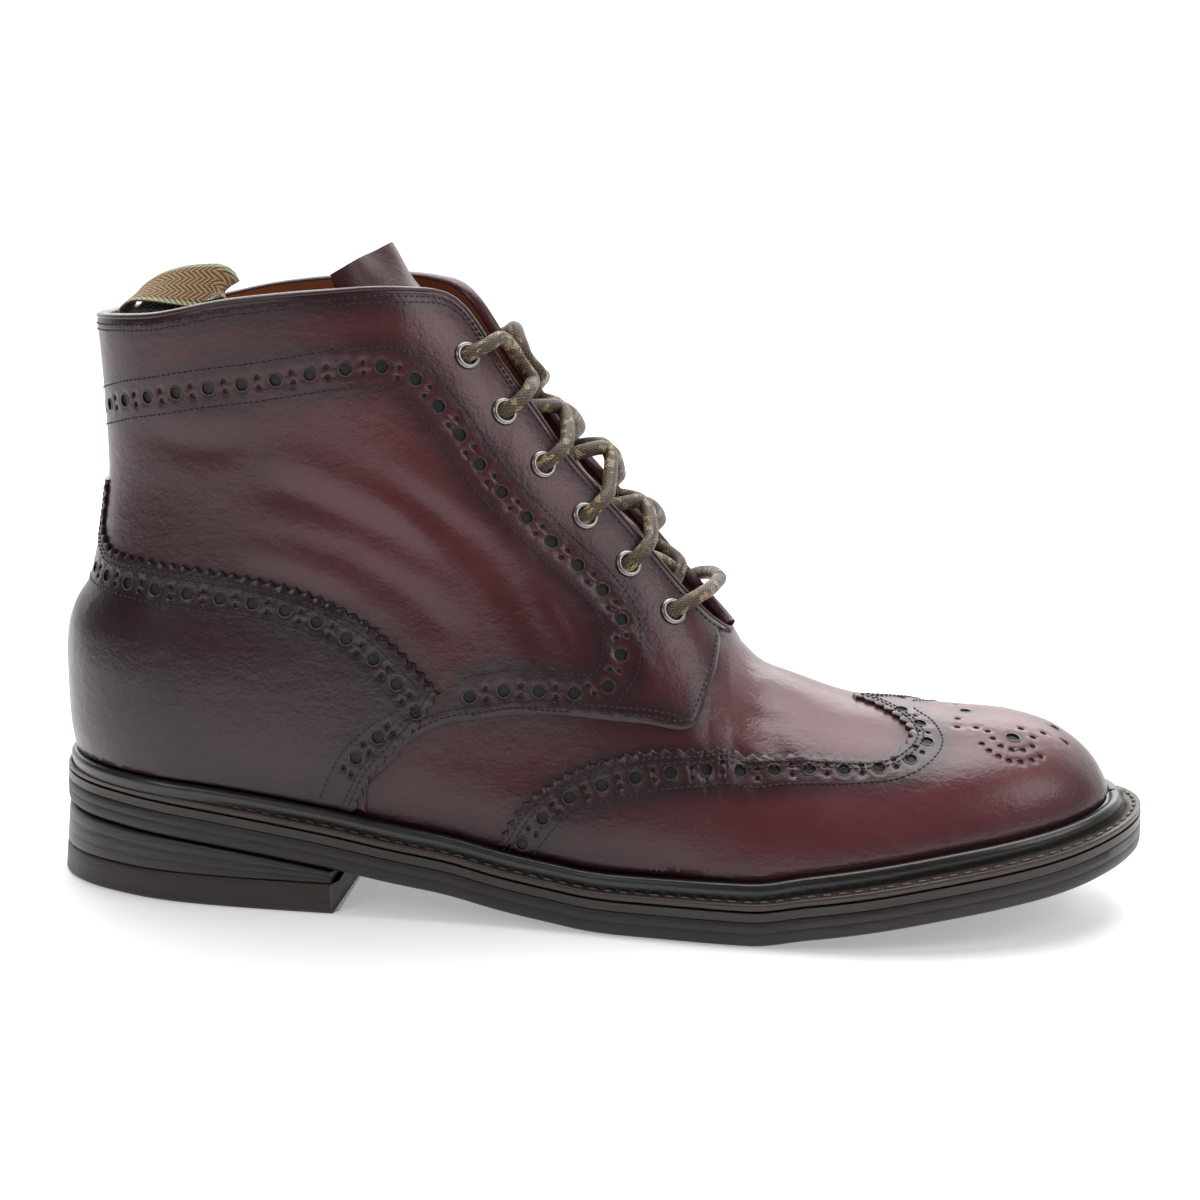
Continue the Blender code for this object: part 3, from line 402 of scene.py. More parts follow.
def find_place(side, x, z):
    """Map places (u, s) of points that are given in the side view."""
    out = []
    grid = GRID_POINTS[side]
    for px, pz in zip(x, z):
        k = int(np.argmin((grid[:, 0] - px) ** 2 + (grid[:, 2] - pz) ** 2))
        out.append((GRID_U.ravel()[k], GRID_S.ravel()[k]))
    q = np.array(out)
    for turn in range(8):
        p = map_side(side, q[:, 0], q[:, 1])
        d = 0.0015
        qa = np.clip(q + (d, 0), 0, (3, 1)); qb = np.clip(q - (d, 0), 0, (3, 1))
        qc = np.clip(q + (0, d), 0, (3, 1)); qd = np.clip(q - (0, d), 0, (3, 1))
        du = (map_side(side, *qa.T) - map_side(side, *qb.T)) / (qa - qb)[:, :1]
        ds = (map_side(side, *qc.T) - map_side(side, *qd.T)) / (qc - qd)[:, 1:]
        ex = x - p[:, 0]
        ez = z - p[:, 2]
        det = du[:, 0] * ds[:, 2] - ds[:, 0] * du[:, 2]
        det = np.where(np.abs(det) < 1e-9, 1e-9, det)
        step = np.stack([(ex * ds[:, 2] - ez * ds[:, 0]) / det,
                         (ez * du[:, 0] - ex * du[:, 2]) / det], -1)
        q = np.clip(q + np.clip(step, -0.05, 0.05), 0, (3, 1))
    return q


def pattern_line(rows, kind="lateral"):
    """Pattern rows (share of length, share of height) as a smooth line on a map."""
    rows = np.array(rows, float)
    x = rows[:, 0] * SOLE_LENGTH
    low = feather(x)
    z = low + (top_line(x) - low) * rows[:, 1]
    side = 1 if kind == "medial" else -1
    return resample(kind, find_place(side, x, z), 0.0015)


def resample(kind, q, step, smooth_it=True):
    """Even steps along a line on the map, through a soft curve of its points."""
    p = on_map(kind, q)
    run = np.concatenate([[0], np.cumsum(np.linalg.norm(np.diff(p, axis=0), axis=1))])
    keep = np.concatenate([[True], np.diff(run) > 1e-7])
    run, q = run[keep], q[keep]
    fine = np.linspace(0, run[-1], max(int(run[-1] / 0.0004), 4))
    if smooth_it and len(run) > 3:
        cols = [smooth(list(zip(run, q[:, k])))(fine) for k in (0, 1)]
    else:
        cols = [np.interp(fine, run, q[:, k]) for k in (0, 1)]
    q = np.stack(cols, -1)
    p = on_map(kind, q)
    run = np.concatenate([[0], np.cumsum(np.linalg.norm(np.diff(p, axis=0), axis=1))])
    count = max(int(round(run[-1] / step)), 2)
    even = np.linspace(0, run[-1], count + 1)
    return np.stack([np.interp(even, run, q[:, k]) for k in (0, 1)], -1)


def line_frame(kind, q):
    """Points, directions, outward normals and left-hand directions along a line."""
    p = on_map(kind, q)
    run = np.gradient(p, axis=0)
    run /= np.maximum(np.linalg.norm(run, axis=1), 1e-12)[:, None]
    n = normals_at(kind, q)
    left = np.cross(n, run)
    left /= np.maximum(np.linalg.norm(left, axis=1), 1e-12)[:, None]
    return p, run, n, left


def offset_line(kind, q, by, step=0.0015):
    """The line moved sideways on the surface; by > 0 is to its left, seen from outside."""
    left = line_frame(kind, q)[3]
    return resample(kind, shifted(kind, q, left * by), step, False)


def mirrored(q, kind):
    """The same place on the other half of the back or top map."""
    return q * (-1, 1) if kind == "back" else np.stack([q[:, 0], 2 - q[:, 1]], -1)


print("map checked:", np.round(map_side(-1, np.array([1.5]), np.array([0.5]))[0], 4))

# %% [markdown]
# ## Finishes
# Every finish is a small node tree on the Principled shader: colour with patches, roughness that
# varies, and a bump for grain. Two attributes painted on the vertices steer the leather: one darkens
# it, with polish along seams, edges and holes, a darker toe tip, and painted shade at the back of the
# heel and just above the welt; the other is a painted highlight that makes the vamp, the toe and the
# upper quarter paler.
# %% Material helpers
def start_material(name):
    mat = bpy.data.materials.new(name)
    mat.use_nodes = True
    return mat, mat.node_tree, mat.node_tree.nodes["Principled BSDF"]


def add_node(tree, kind, values=None, **settings):
    node = tree.nodes.new(kind)
    for key, value in settings.items():
        setattr(node, key, value)
    for key, value in (values or {}).items():
        if isinstance(value, bpy.types.NodeSocket):
            tree.links.new(value, node.inputs[key])
        else:
            node.inputs[key].default_value = value
    return node


def object_place(tree, scale=(1, 1, 1)):
    place = add_node(tree, "ShaderNodeTexCoord").outputs["Object"]
    return add_node(tree, "ShaderNodeMapping", {"Vector": place, "Scale": scale}).outputs[0]


def noise(tree, place, scale, detail=3.0, rough=0.5):
    values = {"Vector": place, "Scale": scale, "Detail": detail, "Roughness": rough}
    return add_node(tree, "ShaderNodeTexNoise", values).outputs["Fac"]


def remap(tree, value, low, high, to_low=0.0, to_high=1.0):
    values = {"Value": value, "From Min": low, "From Max": high,
              "To Min": to_low, "To Max": to_high}
    return add_node(tree, "ShaderNodeMapRange", values).outputs["Result"]


def calc(tree, operation, a, b=0.0):
    return add_node(tree, "ShaderNodeMath", {0: a, 1: b}, operation=operation).outputs[0]


def blend_colour(tree, amount, a, b, mode="MIX"):
    node = add_node(tree, "ShaderNodeMix", data_type="RGBA", blend_type=mode)
    for key, value in (("Factor_Float", amount), ("A_Color", a), ("B_Color", b)):
        socket = next(s for s in node.inputs if s.identifier == key)
        if isinstance(value, bpy.types.NodeSocket):
            tree.links.new(value, socket)
        else:
            socket.default_value = value if key == "Factor_Float" else (*value, 1.0)
    return next(s for s in node.outputs if s.identifier == "Result_Color")


def attribute(tree, name):
    return add_node(tree, "ShaderNodeAttribute", attribute_name=name).outputs["Fac"]


def bump(tree, height, distance, strength=1.0, under=None):
    values = {"Height": height, "Distance": distance, "Strength": strength}
    if under is not None:
        values["Normal"] = under
    return add_node(tree, "ShaderNodeBump", values).outputs["Normal"]


# %% [markdown]
# The burnished leather is a deep red that goes nearly black in the seams, with painted shade at the
# back of the heel and just above the welt, and pinker where a painted highlight lies over the vamp,
# the toe and the upper quarter. A thin coat gives the wax polish over a soft satin base. The grain is
# a fine cell pattern with a wider, softer unevenness beneath it.
# %% Leather
def make_leather(name, body, dark, painted_highlight, coat=0.35, rough=(0.34, 0.50), grain=1.0):
    mat, tree, shader = start_material(name)
    place = object_place(tree)
    patches = noise(tree, place, 34.0, 5.0, 0.6)
    cloud = noise(tree, place, 11.0, 3.0, 0.5)
    speck = noise(tree, place, 420.0, 2.0, 0.6)
    # painted highlight: the second vertex attribute mixes in the paler third colour over the vamp, toe
    # and upper quarter
    highlight_amount = calc(tree, "MULTIPLY", attribute(tree, "painted_highlight"), remap(tree, patches, 0.3, 0.7, 0.55, 1.1))
    # first vertex attribute: polish along seams and holes, a darker toe tip, and painted shade at the
    # heel's back and above the welt
    seam = attribute(tree, "polish_and_shade")
    seam = calc(tree, "MULTIPLY", seam, remap(tree, cloud, 0.3, 0.7, 0.65, 1.15))
    patchy = remap(tree, patches, 0.38, 0.72, 0.0, 0.40)
    colour = blend_colour(tree, patchy, body, dark)
    colour = blend_colour(tree, highlight_amount, colour, painted_highlight)
    colour = blend_colour(tree, seam, colour, dark)
    fleck = remap(tree, speck, 0.35, 0.65, 0.0, 0.12)
    colour = blend_colour(tree, fleck, colour, tuple(c * 0.55 for c in body))
    tree.links.new(colour, shader.inputs["Base Color"])
    gloss = remap(tree, patches, 0.3, 0.7, rough[0], rough[1])
    tree.links.new(gloss, shader.inputs["Roughness"])
    shader.inputs["Coat Weight"].default_value = coat
    shader.inputs["Coat Roughness"].default_value = 0.27
    shader.inputs["Specular IOR Level"].default_value = 0.42
    cells = add_node(tree, "ShaderNodeTexVoronoi", {"Vector": place, "Scale": 1150.0},
                     feature="SMOOTH_F1").outputs["Distance"]
    wrinkle = noise(tree, object_place(tree, (1.0, 1.0, 1.5)), 190.0, 5.0, 0.62)
    wave = noise(tree, place, 60.0, 3.0, 0.5)
    normal = bump(tree, wave, 0.0011, 0.35 * grain)
    normal = bump(tree, wrinkle, 0.00045, 0.45 * grain, normal)
    normal = bump(tree, cells, 0.00010, 0.55 * grain, normal)
    tree.links.new(normal, shader.inputs["Normal"])
    tree.links.new(normal, shader.inputs["Coat Normal"])
    return mat


# the third colour of each leather is the tint of its painted highlight
leather = make_leather("burnished_leather", (0.058, 0.0075, 0.0110), (0.0125, 0.0040, 0.0055),
                       (0.150, 0.031, 0.040), coat=0.30, rough=(0.32, 0.46))
counter_leather = make_leather("counter_leather", (0.030, 0.0055, 0.0080), (0.0095, 0.0035, 0.0045),
                               (0.085, 0.014, 0.018), coat=0.32, rough=(0.30, 0.42))
tongue_leather = make_leather("tongue_leather", (0.060, 0.007, 0.009), (0.012, 0.003, 0.004),
                              (0.16, 0.018, 0.020), coat=0.2, rough=(0.42, 0.58), grain=1.3)


# %% [markdown]
# The lining is an orange-tan calf with the nap side showing, so it has no coat, only a soft
# sheen and a short fibrous bump. The insole is the same kind of leather, a little browner.
# %% Lining and insole
def make_nap(name, body, dark, rough=0.82):
    mat, tree, shader = start_material(name)
    place = object_place(tree)
    patches = noise(tree, place, 45.0, 5.0, 0.6)
    colour = blend_colour(tree, remap(tree, patches, 0.3, 0.75), body, dark)
    tree.links.new(colour, shader.inputs["Base Color"])
    shader.inputs["Roughness"].default_value = rough
    shader.inputs["Sheen Weight"].default_value = 0.15
    shader.inputs["Specular IOR Level"].default_value = 0.3
    fibre = noise(tree, place, 900.0, 4.0, 0.7)
    normal = bump(tree, patches, 0.0006, 0.3)
    normal = bump(tree, fibre, 0.0002, 0.5, normal)
    tree.links.new(normal, shader.inputs["Normal"])
    return mat


lining = make_nap("tan_lining", (0.40, 0.125, 0.035), (0.21, 0.060, 0.018))
insole_leather = make_nap("insole_leather", (0.34, 0.17, 0.075), (0.20, 0.095, 0.040), 0.7)


# %% [markdown]
# The welt and the sole edge are waxed dark brown: brushed lines run along the edge, because
# the trimmer and the brush run that way. The heel is built of lifts, so its finish gets
# faint level lines.
# %% Edge finishes
def make_edge(name, body, light, rough=(0.32, 0.5), lines=0.5, coat=0.2, wear=0.35):
    mat, tree, shader = start_material(name)
    flat = object_place(tree, (1.0, 1.0, 14.0))
    place = object_place(tree)
    streak = noise(tree, flat, 70.0, 4.0, 0.6)
    patches = noise(tree, place, 40.0, 4.0, 0.6)
    amount = calc(tree, "MULTIPLY", remap(tree, streak, 0.35, 0.75), wear)
    amount = calc(tree, "MULTIPLY", amount, remap(tree, patches, 0.25, 0.7, 0.4, 1.3))
    colour = blend_colour(tree, amount, body, light)
    tree.links.new(colour, shader.inputs["Base Color"])
    gloss = remap(tree, patches, 0.3, 0.7, rough[0], rough[1])
    tree.links.new(gloss, shader.inputs["Roughness"])
    shader.inputs["Coat Weight"].default_value = coat
    shader.inputs["Coat Roughness"].default_value = 0.3
    normal = bump(tree, streak, 0.00035, lines)
    fine = noise(tree, place, 700.0, 3.0, 0.6)
    normal = bump(tree, fine, 0.00008, 0.35, normal)
    tree.links.new(normal, shader.inputs["Normal"])
    return mat


bead_finish = make_edge("storm_bead", (0.010, 0.0085, 0.0085), (0.035, 0.028, 0.025),
                        (0.26, 0.38), 0.25, 0.35)
welt_finish = make_edge("welt_brown", (0.035, 0.021, 0.015), (0.085, 0.055, 0.038),
                        (0.36, 0.52), 0.35, 0.15)
midsole_finish = make_edge("midsole_edge", (0.0125, 0.0080, 0.0062), (0.034, 0.023, 0.018))
outsole_finish = make_edge("outsole_edge", (0.0110, 0.0078, 0.0062), (0.030, 0.021, 0.016),
                           (0.40, 0.58), 0.5, 0.08)
heel_finish = make_edge("heel_stack", (0.0100, 0.0070, 0.0058), (0.028, 0.020, 0.0155),
                        (0.34, 0.5), 0.8, 0.15)
top_piece_finish = make_edge("top_piece_rubber", (0.0150, 0.0100, 0.0075), (0.040, 0.027, 0.020),
                             (0.42, 0.6), 0.6, 0.05)


# %% [markdown]
# Small things: nickel eyelets, threads, a near-black plug of painted shade at the bottom of each
# perforation, the waxed braid of the lace and the woven herringbone of the pull loop. The braid and
# the weave follow the piece's own UV map, which is in millimetres along and across.
# %% Small finishes
def make_plain(name, colour, rough, metal=0.0, coat=0.0, speck=0.25):
    mat, tree, shader = start_material(name)
    spots = noise(tree, object_place(tree), 350.0, 3.0, 0.6)
    darker = tuple(c * (1 - speck * 1.6) for c in colour)
    mix = blend_colour(tree, remap(tree, spots, 0.35, 0.7), colour, darker)
    tree.links.new(mix, shader.inputs["Base Color"])
    tree.links.new(remap(tree, spots, 0.3, 0.7, rough * 0.85, rough * 1.15),
                   shader.inputs["Roughness"])
    shader.inputs["Metallic"].default_value = metal
    shader.inputs["Coat Weight"].default_value = coat
    tree.links.new(bump(tree, spots, 0.00008, 0.4), shader.inputs["Normal"])
    return mat


nickel = make_plain("nickel", (0.30, 0.285, 0.265), 0.30, 1.0, 0.0, 0.10)
thread = make_plain("upper_thread", (0.030, 0.009, 0.011), 0.5)
lining_thread = make_plain("lining_thread", (0.50, 0.26, 0.12), 0.7)
welt_thread = make_plain("welt_thread", (0.060, 0.038, 0.026), 0.5, 0.0, 0.2)
# near-black plug colour: painted shade at the bottom of each perforation
painted_hole_shade = make_plain("painted_hole_shade", (0.0045, 0.0050, 0.0065), 0.6)
hole_lip = make_plain("hole_lip", (0.034, 0.0075, 0.0095), 0.30, 0.0, 0.3)


def make_braid():
    mat, tree, shader = start_material("lace_braid")
    place = add_node(tree, "ShaderNodeTexCoord").outputs["UV"]
    bands = []
    for turn in (1, -1):
        turned = add_node(tree, "ShaderNodeMapping",
                          {"Vector": place, "Rotation": (0, 0, turn * math.radians(38))})
        wave = add_node(tree, "ShaderNodeTexWave", {"Vector": turned.outputs[0], "Scale": 0.42},
                        wave_type="BANDS", bands_direction="Y", wave_profile="SIN")
        bands.append(wave.outputs["Fac"])
    braid = calc(tree, "MAXIMUM", *bands)
    fleck = add_node(tree, "ShaderNodeTexVoronoi", {"Vector": place, "Scale": 0.55,
                                                    "Randomness": 1.0}).outputs["Color"]
    pick = remap(tree, add_node(tree, "ShaderNodeSeparateColor", {0: fleck}).outputs[0],
                 0.72, 0.78)
    base = blend_colour(tree, remap(tree, braid, 0.35, 0.95), (0.022, 0.013, 0.008),
                        (0.115, 0.070, 0.034))
    colour = blend_colour(tree, calc(tree, "MULTIPLY", pick, braid), base, (0.46, 0.32, 0.15))
    tree.links.new(colour, shader.inputs["Base Color"])
    shader.inputs["Roughness"].default_value = 0.5
    shader.inputs["Coat Weight"].default_value = 0.2
    shader.inputs["Coat Roughness"].default_value = 0.35
    tree.links.new(bump(tree, braid, 0.00045, 0.9), shader.inputs["Normal"])
    return mat


def make_webbing():
    mat, tree, shader = start_material("loop_webbing")
    place = add_node(tree, "ShaderNodeTexCoord").outputs["UV"]
    parts = add_node(tree, "ShaderNodeSeparateXYZ", {0: place}).outputs
    along, across = parts[0], parts[1]
    zigzag = calc(tree, "PINGPONG", across, 2.4)
    ribs = calc(tree, "SINE", calc(tree, "MULTIPLY", calc(tree, "ADD", along, zigzag), 3.9))
    yarn = calc(tree, "SINE", calc(tree, "MULTIPLY", across, 9.0))
    weave = calc(tree, "ADD", remap(tree, ribs, -1, 1, 0, 0.8), remap(tree, yarn, -1, 1, 0, 0.2))
    colour = blend_colour(tree, weave, (0.10, 0.052, 0.022), (0.42, 0.26, 0.115))
    rim = remap(tree, calc(tree, "ABSOLUTE", across), 5.9, 6.3)
    colour = blend_colour(tree, rim, colour, (0.40, 0.44, 0.27))
    inner = attribute(tree, "inside")
    colour = blend_colour(tree, inner, colour, (0.018, 0.026, 0.018))
    tree.links.new(colour, shader.inputs["Base Color"])
    shader.inputs["Roughness"].default_value = 0.85
    shader.inputs["Sheen Weight"].default_value = 0.2
    tree.links.new(bump(tree, weave, 0.0004, 0.9), shader.inputs["Normal"])
    return mat


lace_braid = make_braid()
loop_webbing = make_webbing()
print("finishes:", len(bpy.data.materials))


# %% [markdown]
# ## Making meshes
# Points and faces go straight into a mesh with its materials and attributes. The boot frame
# measures from the back of the heel, so each mesh is moved along X to the CAD frame's origin
# when it is made, and every object stays at the origin.
# %% Mesh helper
LEATHER_PIECES = []


def make_piece(name, points, faces, materials, nodes=(), indices=None, merge=0.0,
               sharp=None, uv=None, values=None):
    points = np.asarray(points, float) + (SHIFT, 0.0, 0.0)
    mesh = bpy.data.meshes.new(name)
    mesh.from_pydata([tuple(p) for p in points], [], [tuple(int(i) for i in f) for f in faces])
    for mat in materials:
        mesh.materials.append(mat)
    if indices is not None:
        mesh.polygons.foreach_set("material_index", list(indices))
    for key, data in (values or {}).items():
        layer = mesh.attributes.new(key, "FLOAT", "POINT")
        layer.data.foreach_set("value", np.asarray(data, np.float32))
    if uv is not None:
        layer = mesh.uv_layers.new(name="UVMap")
        corners = np.empty(len(mesh.loops), dtype=np.int32)
        mesh.loops.foreach_get("vertex_index", corners)
        layer.data.foreach_set("uv", np.asarray(uv, np.float32)[corners].ravel())
    mesh.validate()
    if merge:
        bm = bmesh.new()
        bm.from_mesh(mesh)
        bmesh.ops.remove_doubles(bm, verts=bm.verts, dist=merge)
        bmesh.ops.recalc_face_normals(bm, faces=bm.faces)
        bm.to_mesh(mesh)
        bm.free()
    mesh.shade_smooth()
    if sharp:
        mesh.set_sharp_from_angle(angle=math.radians(sharp))
    thing = bpy.data.objects.new(name, mesh)
    bpy.context.scene.collection.objects.link(thing)
    finish_piece(thing, nodes)
    return thing


def finish_piece(thing, nodes=()):
    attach(thing, "root")
    if nodes:
        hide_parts(*nodes)
    triangles = sum(len(f.vertices) - 2 for f in thing.data.polygons)
    print("%s: %d triangles" % (thing.name, triangles))


def strip_faces(rows, columns, closed_rows=False, closed_columns=False):
    """Quads of a grid whose points are listed row by row."""
    faces = []
    for i in range(rows if closed_rows else rows - 1):
        for k in range(columns if closed_columns else columns - 1):
            a = i * columns + k
            b = i * columns + (k + 1) % columns
            c = (i + 1) % rows * columns
            faces.append((a, b, c + (k + 1) % columns, c + k))
    return faces


# %% [markdown]
# ## Creases
# A worn boot folds where the foot bends and where the shaft leans. Each fold is a soft trough with a
# low ridge beside it, drawn as a short line in the side view, in millimetres.
# They go into the mesh, because a bump alone would leave the outline stiff.
# %% Creases
CREASES = [  # side, line of (x, z) in mm, half width, depth
    (-1, [(62, 118), (78, 112), (96, 104), (112, 94)], 4.2, 1.10),
    (-1, [(70, 104), (88, 98), (104, 88), (116, 76)], 3.8, 0.80),
    (-1, [(96, 121), (110, 110), (122, 97)], 3.2, 0.75),
    (-1, [(112, 112), (124, 100), (134, 86), (140, 72)], 3.6, 0.85),
    (-1, [(134, 96), (146, 84), (154, 70)], 2.8, 0.60),
    (-1, [(56, 92), (70, 90), (88, 84)], 3.4, 0.55),
    (-1, [(150, 84), (160, 74), (166, 62)], 2.3, 0.45),
    (-1, [(176, 52), (184, 43), (190, 33)], 2.0, 0.40),
    (-1, [(187, 55), (194, 46), (201, 35)], 2.0, 0.38),
    (-1, [(199, 55), (205, 47), (211, 38)], 1.8, 0.30),
    (-1, [(30, 128), (48, 126), (66, 128)], 3.8, 0.50),
    (1, [(60, 116), (78, 110), (98, 100), (112, 88)], 4.2, 1.00),
    (1, [(72, 98), (90, 92), (108, 82)], 3.6, 0.70),
    (1, [(110, 110), (124, 98), (136, 82)], 3.4, 0.80),
    (1, [(140, 90), (152, 78), (160, 64)], 2.6, 0.55),
    (1, [(178, 50), (186, 42), (192, 32)], 2.0, 0.40),
    (1, [(190, 53), (197, 45), (204, 34)], 1.9, 0.36),
    (1, [(34, 124), (52, 121), (70, 123)], 3.8, 0.45),
    (0, [(193, 56), (201, 54), (207, 53)], 2.2, 0.20),
]


def side_points(side, line):
    """Points on the last for a line in the side view."""
    line = np.array(line, float) / 1000
    run = np.linspace(0, 1, 14)
    at = np.linspace(0, 1, len(line))
    x = np.interp(run, at, line[:, 0])
    z = np.interp(run, at, line[:, 1])
    return np.stack([x, surface(side, x, np.minimum(z, ridge(x) - 0.001)), z], -1)


CREASE_LINES = []
for crease_side, crease_line, crease_width, crease_depth in CREASES:
    for one in ((-1, 1) if crease_side == 0 else (crease_side,)):
        CREASE_LINES.append((side_points(one, crease_line), crease_width / 1000,
                             crease_depth / 1000))


def crease_height(points):
    """Height of the folds at points on the last."""
    out = np.zeros(len(points))
    for line, width, depth in CREASE_LINES:
        low = line.min(0) - 4 * width
        high = line.max(0) + 4 * width
        near = np.all((points > low) & (points < high), axis=1)
        if not near.any():
            continue
        p = points[near]
        a, b = line[:-1], line[1:]
        ab = b - a
        t = ((p[:, None] - a) * ab).sum(2) / (ab * ab).sum(1)
        t = np.clip(t, 0, 1)
        away = np.linalg.norm(p[:, None] - (a + ab * t[:, :, None]), axis=2)
        k = away.argmin(1)
        rows = np.arange(len(p))
        d = away[rows, k]
        share = (k + t[rows, k]) / len(a)
        fade = np.sin(np.clip(share, 0.02, 0.98) * math.pi) ** 0.7
        down = (p[:, 2] - (a + ab * t[:, :, None])[rows, k][:, 2]) > 0
        beside = np.where(down, 0.75, 0.35) * np.exp(-((d - 2.0 * width) / (1.1 * width)) ** 2)
        out[near] += depth * fade * (beside - np.exp(-(d / width) ** 2))
    return out


print("folds:", len(CREASE_LINES))

# %% [markdown]
# ## The upper's own leather and lining
# The vamp and everything under the overlays is one close grid over the map, with a wall of
# real thickness. Outside it is burgundy leather, inside the tan lining.
# %% Upper
def build_upper():
    across = np.concatenate([np.linspace(0, 1, 58), np.linspace(1, 2, 62)[1:],
                             2 + np.linspace(0, 1, 74)[1:]])
    rows = 54
    s = np.linspace(0, 1, rows)
    u, v = np.meshgrid(across, s, indexing="ij")
    points, faces, index = [], [], []
    start = 0
    for side, kind in ((-1, "lateral"), (1, "medial")):
        q = np.stack([u.ravel(), v.ravel()], -1)
        p = on_map(kind, q)
        n = normals_at(kind, q)
        back = q[:, 0] < 1e-9
        n[back, 1] = 0.0
        joined = (q[:, 0] >= 2) & (q[:, 1] > 1 - 1e-9)
        n[joined, 1] = 0.0
        n /= np.linalg.norm(n, axis=1)[:, None]
        h = crease_height(p)[:, None]
        outer = p + n * h
        inner = p + n * (h - WALL)
        quads = strip_faces(len(across), rows)
        if side > 0:
            quads = [f[::-1] for f in quads]
        count = len(p)
        points += [outer, inner]
        faces += [tuple(i + start for i in f) for f in quads]
        index += [0] * len(quads)
        faces += [tuple(i + start + count for i in f[::-1]) for f in quads]
        index += [1] * len(quads)
        rim = []
        for i in range(len(across) - 1):
            a, b = i * rows, (i + 1) * rows
            rim.append(((b, a, a + count, b + count), 0))
            if across[i + 1] <= 2 + 1e-9:
                a, b = a + rows - 1, b + rows - 1
                rim.append(((a, b, b + count, a + count), 0))
        for f, k in rim:
            f = f if side < 0 else f[::-1]
            faces.append(tuple(i + start for i in f))
            index.append(k)
        start += 2 * count
    return make_piece("upper_leather", np.concatenate(points), faces, [leather, lining],
                      ["upper"], index, merge=0.00002, sharp=50)


upper = build_upper()
LEATHER_PIECES.append(upper)

# %% [markdown]
# ## Pattern lines
# The overlays follow lines that were read off the photograph as shares of the boot's length
# and height. From each line, the rows of stitches and the perforations are drawn at set
# distances, as a pattern cutter does with dividers.
# %% Pattern rows
COUNTER_LINE = [
    (0.0565, 0.530), (0.063, 0.502), (0.077, 0.496), (0.105, 0.491), (0.145, 0.480),
    (0.178, 0.469), (0.213, 0.457), (0.248, 0.442), (0.283, 0.417), (0.311, 0.390),
    (0.336, 0.354), (0.358, 0.316), (0.372, 0.290),
]
COUNTER_DOWN = [(0.372, 0.290), (0.352, 0.215), (0.331, 0.160), (0.312, 0.108), (0.298, 0.045)]
QUARTER_LINE = [
    (0.297, 0.020), (0.305, 0.088), (0.328, 0.141), (0.340, 0.176), (0.362, 0.213),
    (0.394, 0.260), (0.438, 0.336), (0.476, 0.398), (0.531, 0.476), (0.562, 0.528),
    (0.583, 0.566), (0.5945, 0.605), (0.600, 0.660), (0.606, 0.760), (0.612, 0.870),
    (0.613, 0.950), (0.610, 0.990),
]
WING_LINE = [
    (0.423, 0.040), (0.4405, 0.128), (0.464, 0.208), (0.500, 0.310), (0.540, 0.403),
    (0.598, 0.540), (0.657, 0.672), (0.716, 0.740), (0.757, 0.772), (0.776, 0.832),
    (0.785, 0.910), (0.778, 0.955), (0.765, 0.982), (0.748, 0.996), (0.730, 1.000),
]
BAND_HOLES = [
    (0.032, 0.795), (0.0614, 0.811), (0.0847, 0.826), (0.1154, 0.836), (0.1447, 0.840),
    (0.1732, 0.839), (0.2029, 0.841), (0.2315, 0.847), (0.2593, 0.854), (0.2898, 0.861),
    (0.3163, 0.864), (0.3420, 0.850), (0.3600, 0.815), (0.3786, 0.788), (0.3944, 0.775),
    (0.4111, 0.770), (0.4296, 0.770), (0.4503, 0.776), (0.4711, 0.783), (0.4925, 0.786),
    (0.5120, 0.778), (0.5280, 0.742), (0.5290, 0.642), (0.5150, 0.528), (0.4853, 0.469),
    (0.4552, 0.421), (0.4232, 0.366), (0.3974, 0.314),
]
BAND_OFFSET = 0.0051


def trimmed(kind, q, start, end):
    """The part of an even line between two lengths, end measured from its end."""
    p = on_map(kind, q)
    run = np.concatenate([[0], np.cumsum(np.linalg.norm(np.diff(p, axis=0), axis=1))])
    keep = (run >= start) & (run <= run[-1] - end)
    return q[keep]


def lengths(kind, q):
    p = on_map(kind, q)
    return np.concatenate([[0], np.cumsum(np.linalg.norm(np.diff(p, axis=0), axis=1))])


stitch_rows = []      # (kind, line, height)
big_holes = []        # (kind, place, height)
small_holes = []


def add_stitches(kind, q, height):
    if len(q) > 2:
        stitch_rows.append((kind, resample(kind, q, 0.0017, False), height))


def add_holes(kind, q, height, pitch=0.0094, radius=0.00175, start=None):
    """Big perforations at an even pitch with a pair of small ones between."""
    total = lengths(kind, q)[-1]
    count = max(int(round(total / pitch)), 1)
    places = resample(kind, q, total / count, False)
    frame_now = line_frame(kind, places)
    for i in range(len(places)):
        big_holes.append((kind, places[i], height, radius))
        if i + 1 < len(places):
            mid = (places[i:i + 1] + places[i + 1:i + 2]) / 2
            left = frame_now[3][i:i + 1]
            for by in (-0.00125, 0.00125):
                spot = shifted(kind, mid, left * by)[0]
                small_holes.append((kind, spot, height, 0.00072))


def gimped(kind, q, pitch=0.0035, deep=0.00125):
    """Zigzag edge along a line."""
    total = lengths(kind, q)[-1]
    count = int(round(total / pitch)) * 2
    places = resample(kind, q, total / count, False)
    left = line_frame(kind, places)[3]
    by = np.where(np.arange(len(places)) % 2 == 0, 0.0, -deep)
    teeth = shifted(kind, places, left * by[:, None])
    out = []
    for a, b in zip(teeth, teeth[1:]):
        out += [a, a * 0.5 + b * 0.5]
    out.append(teeth[-1])
    return np.array(out)


print("pattern lines:", len(WING_LINE) + len(COUNTER_LINE) + len(QUARTER_LINE))

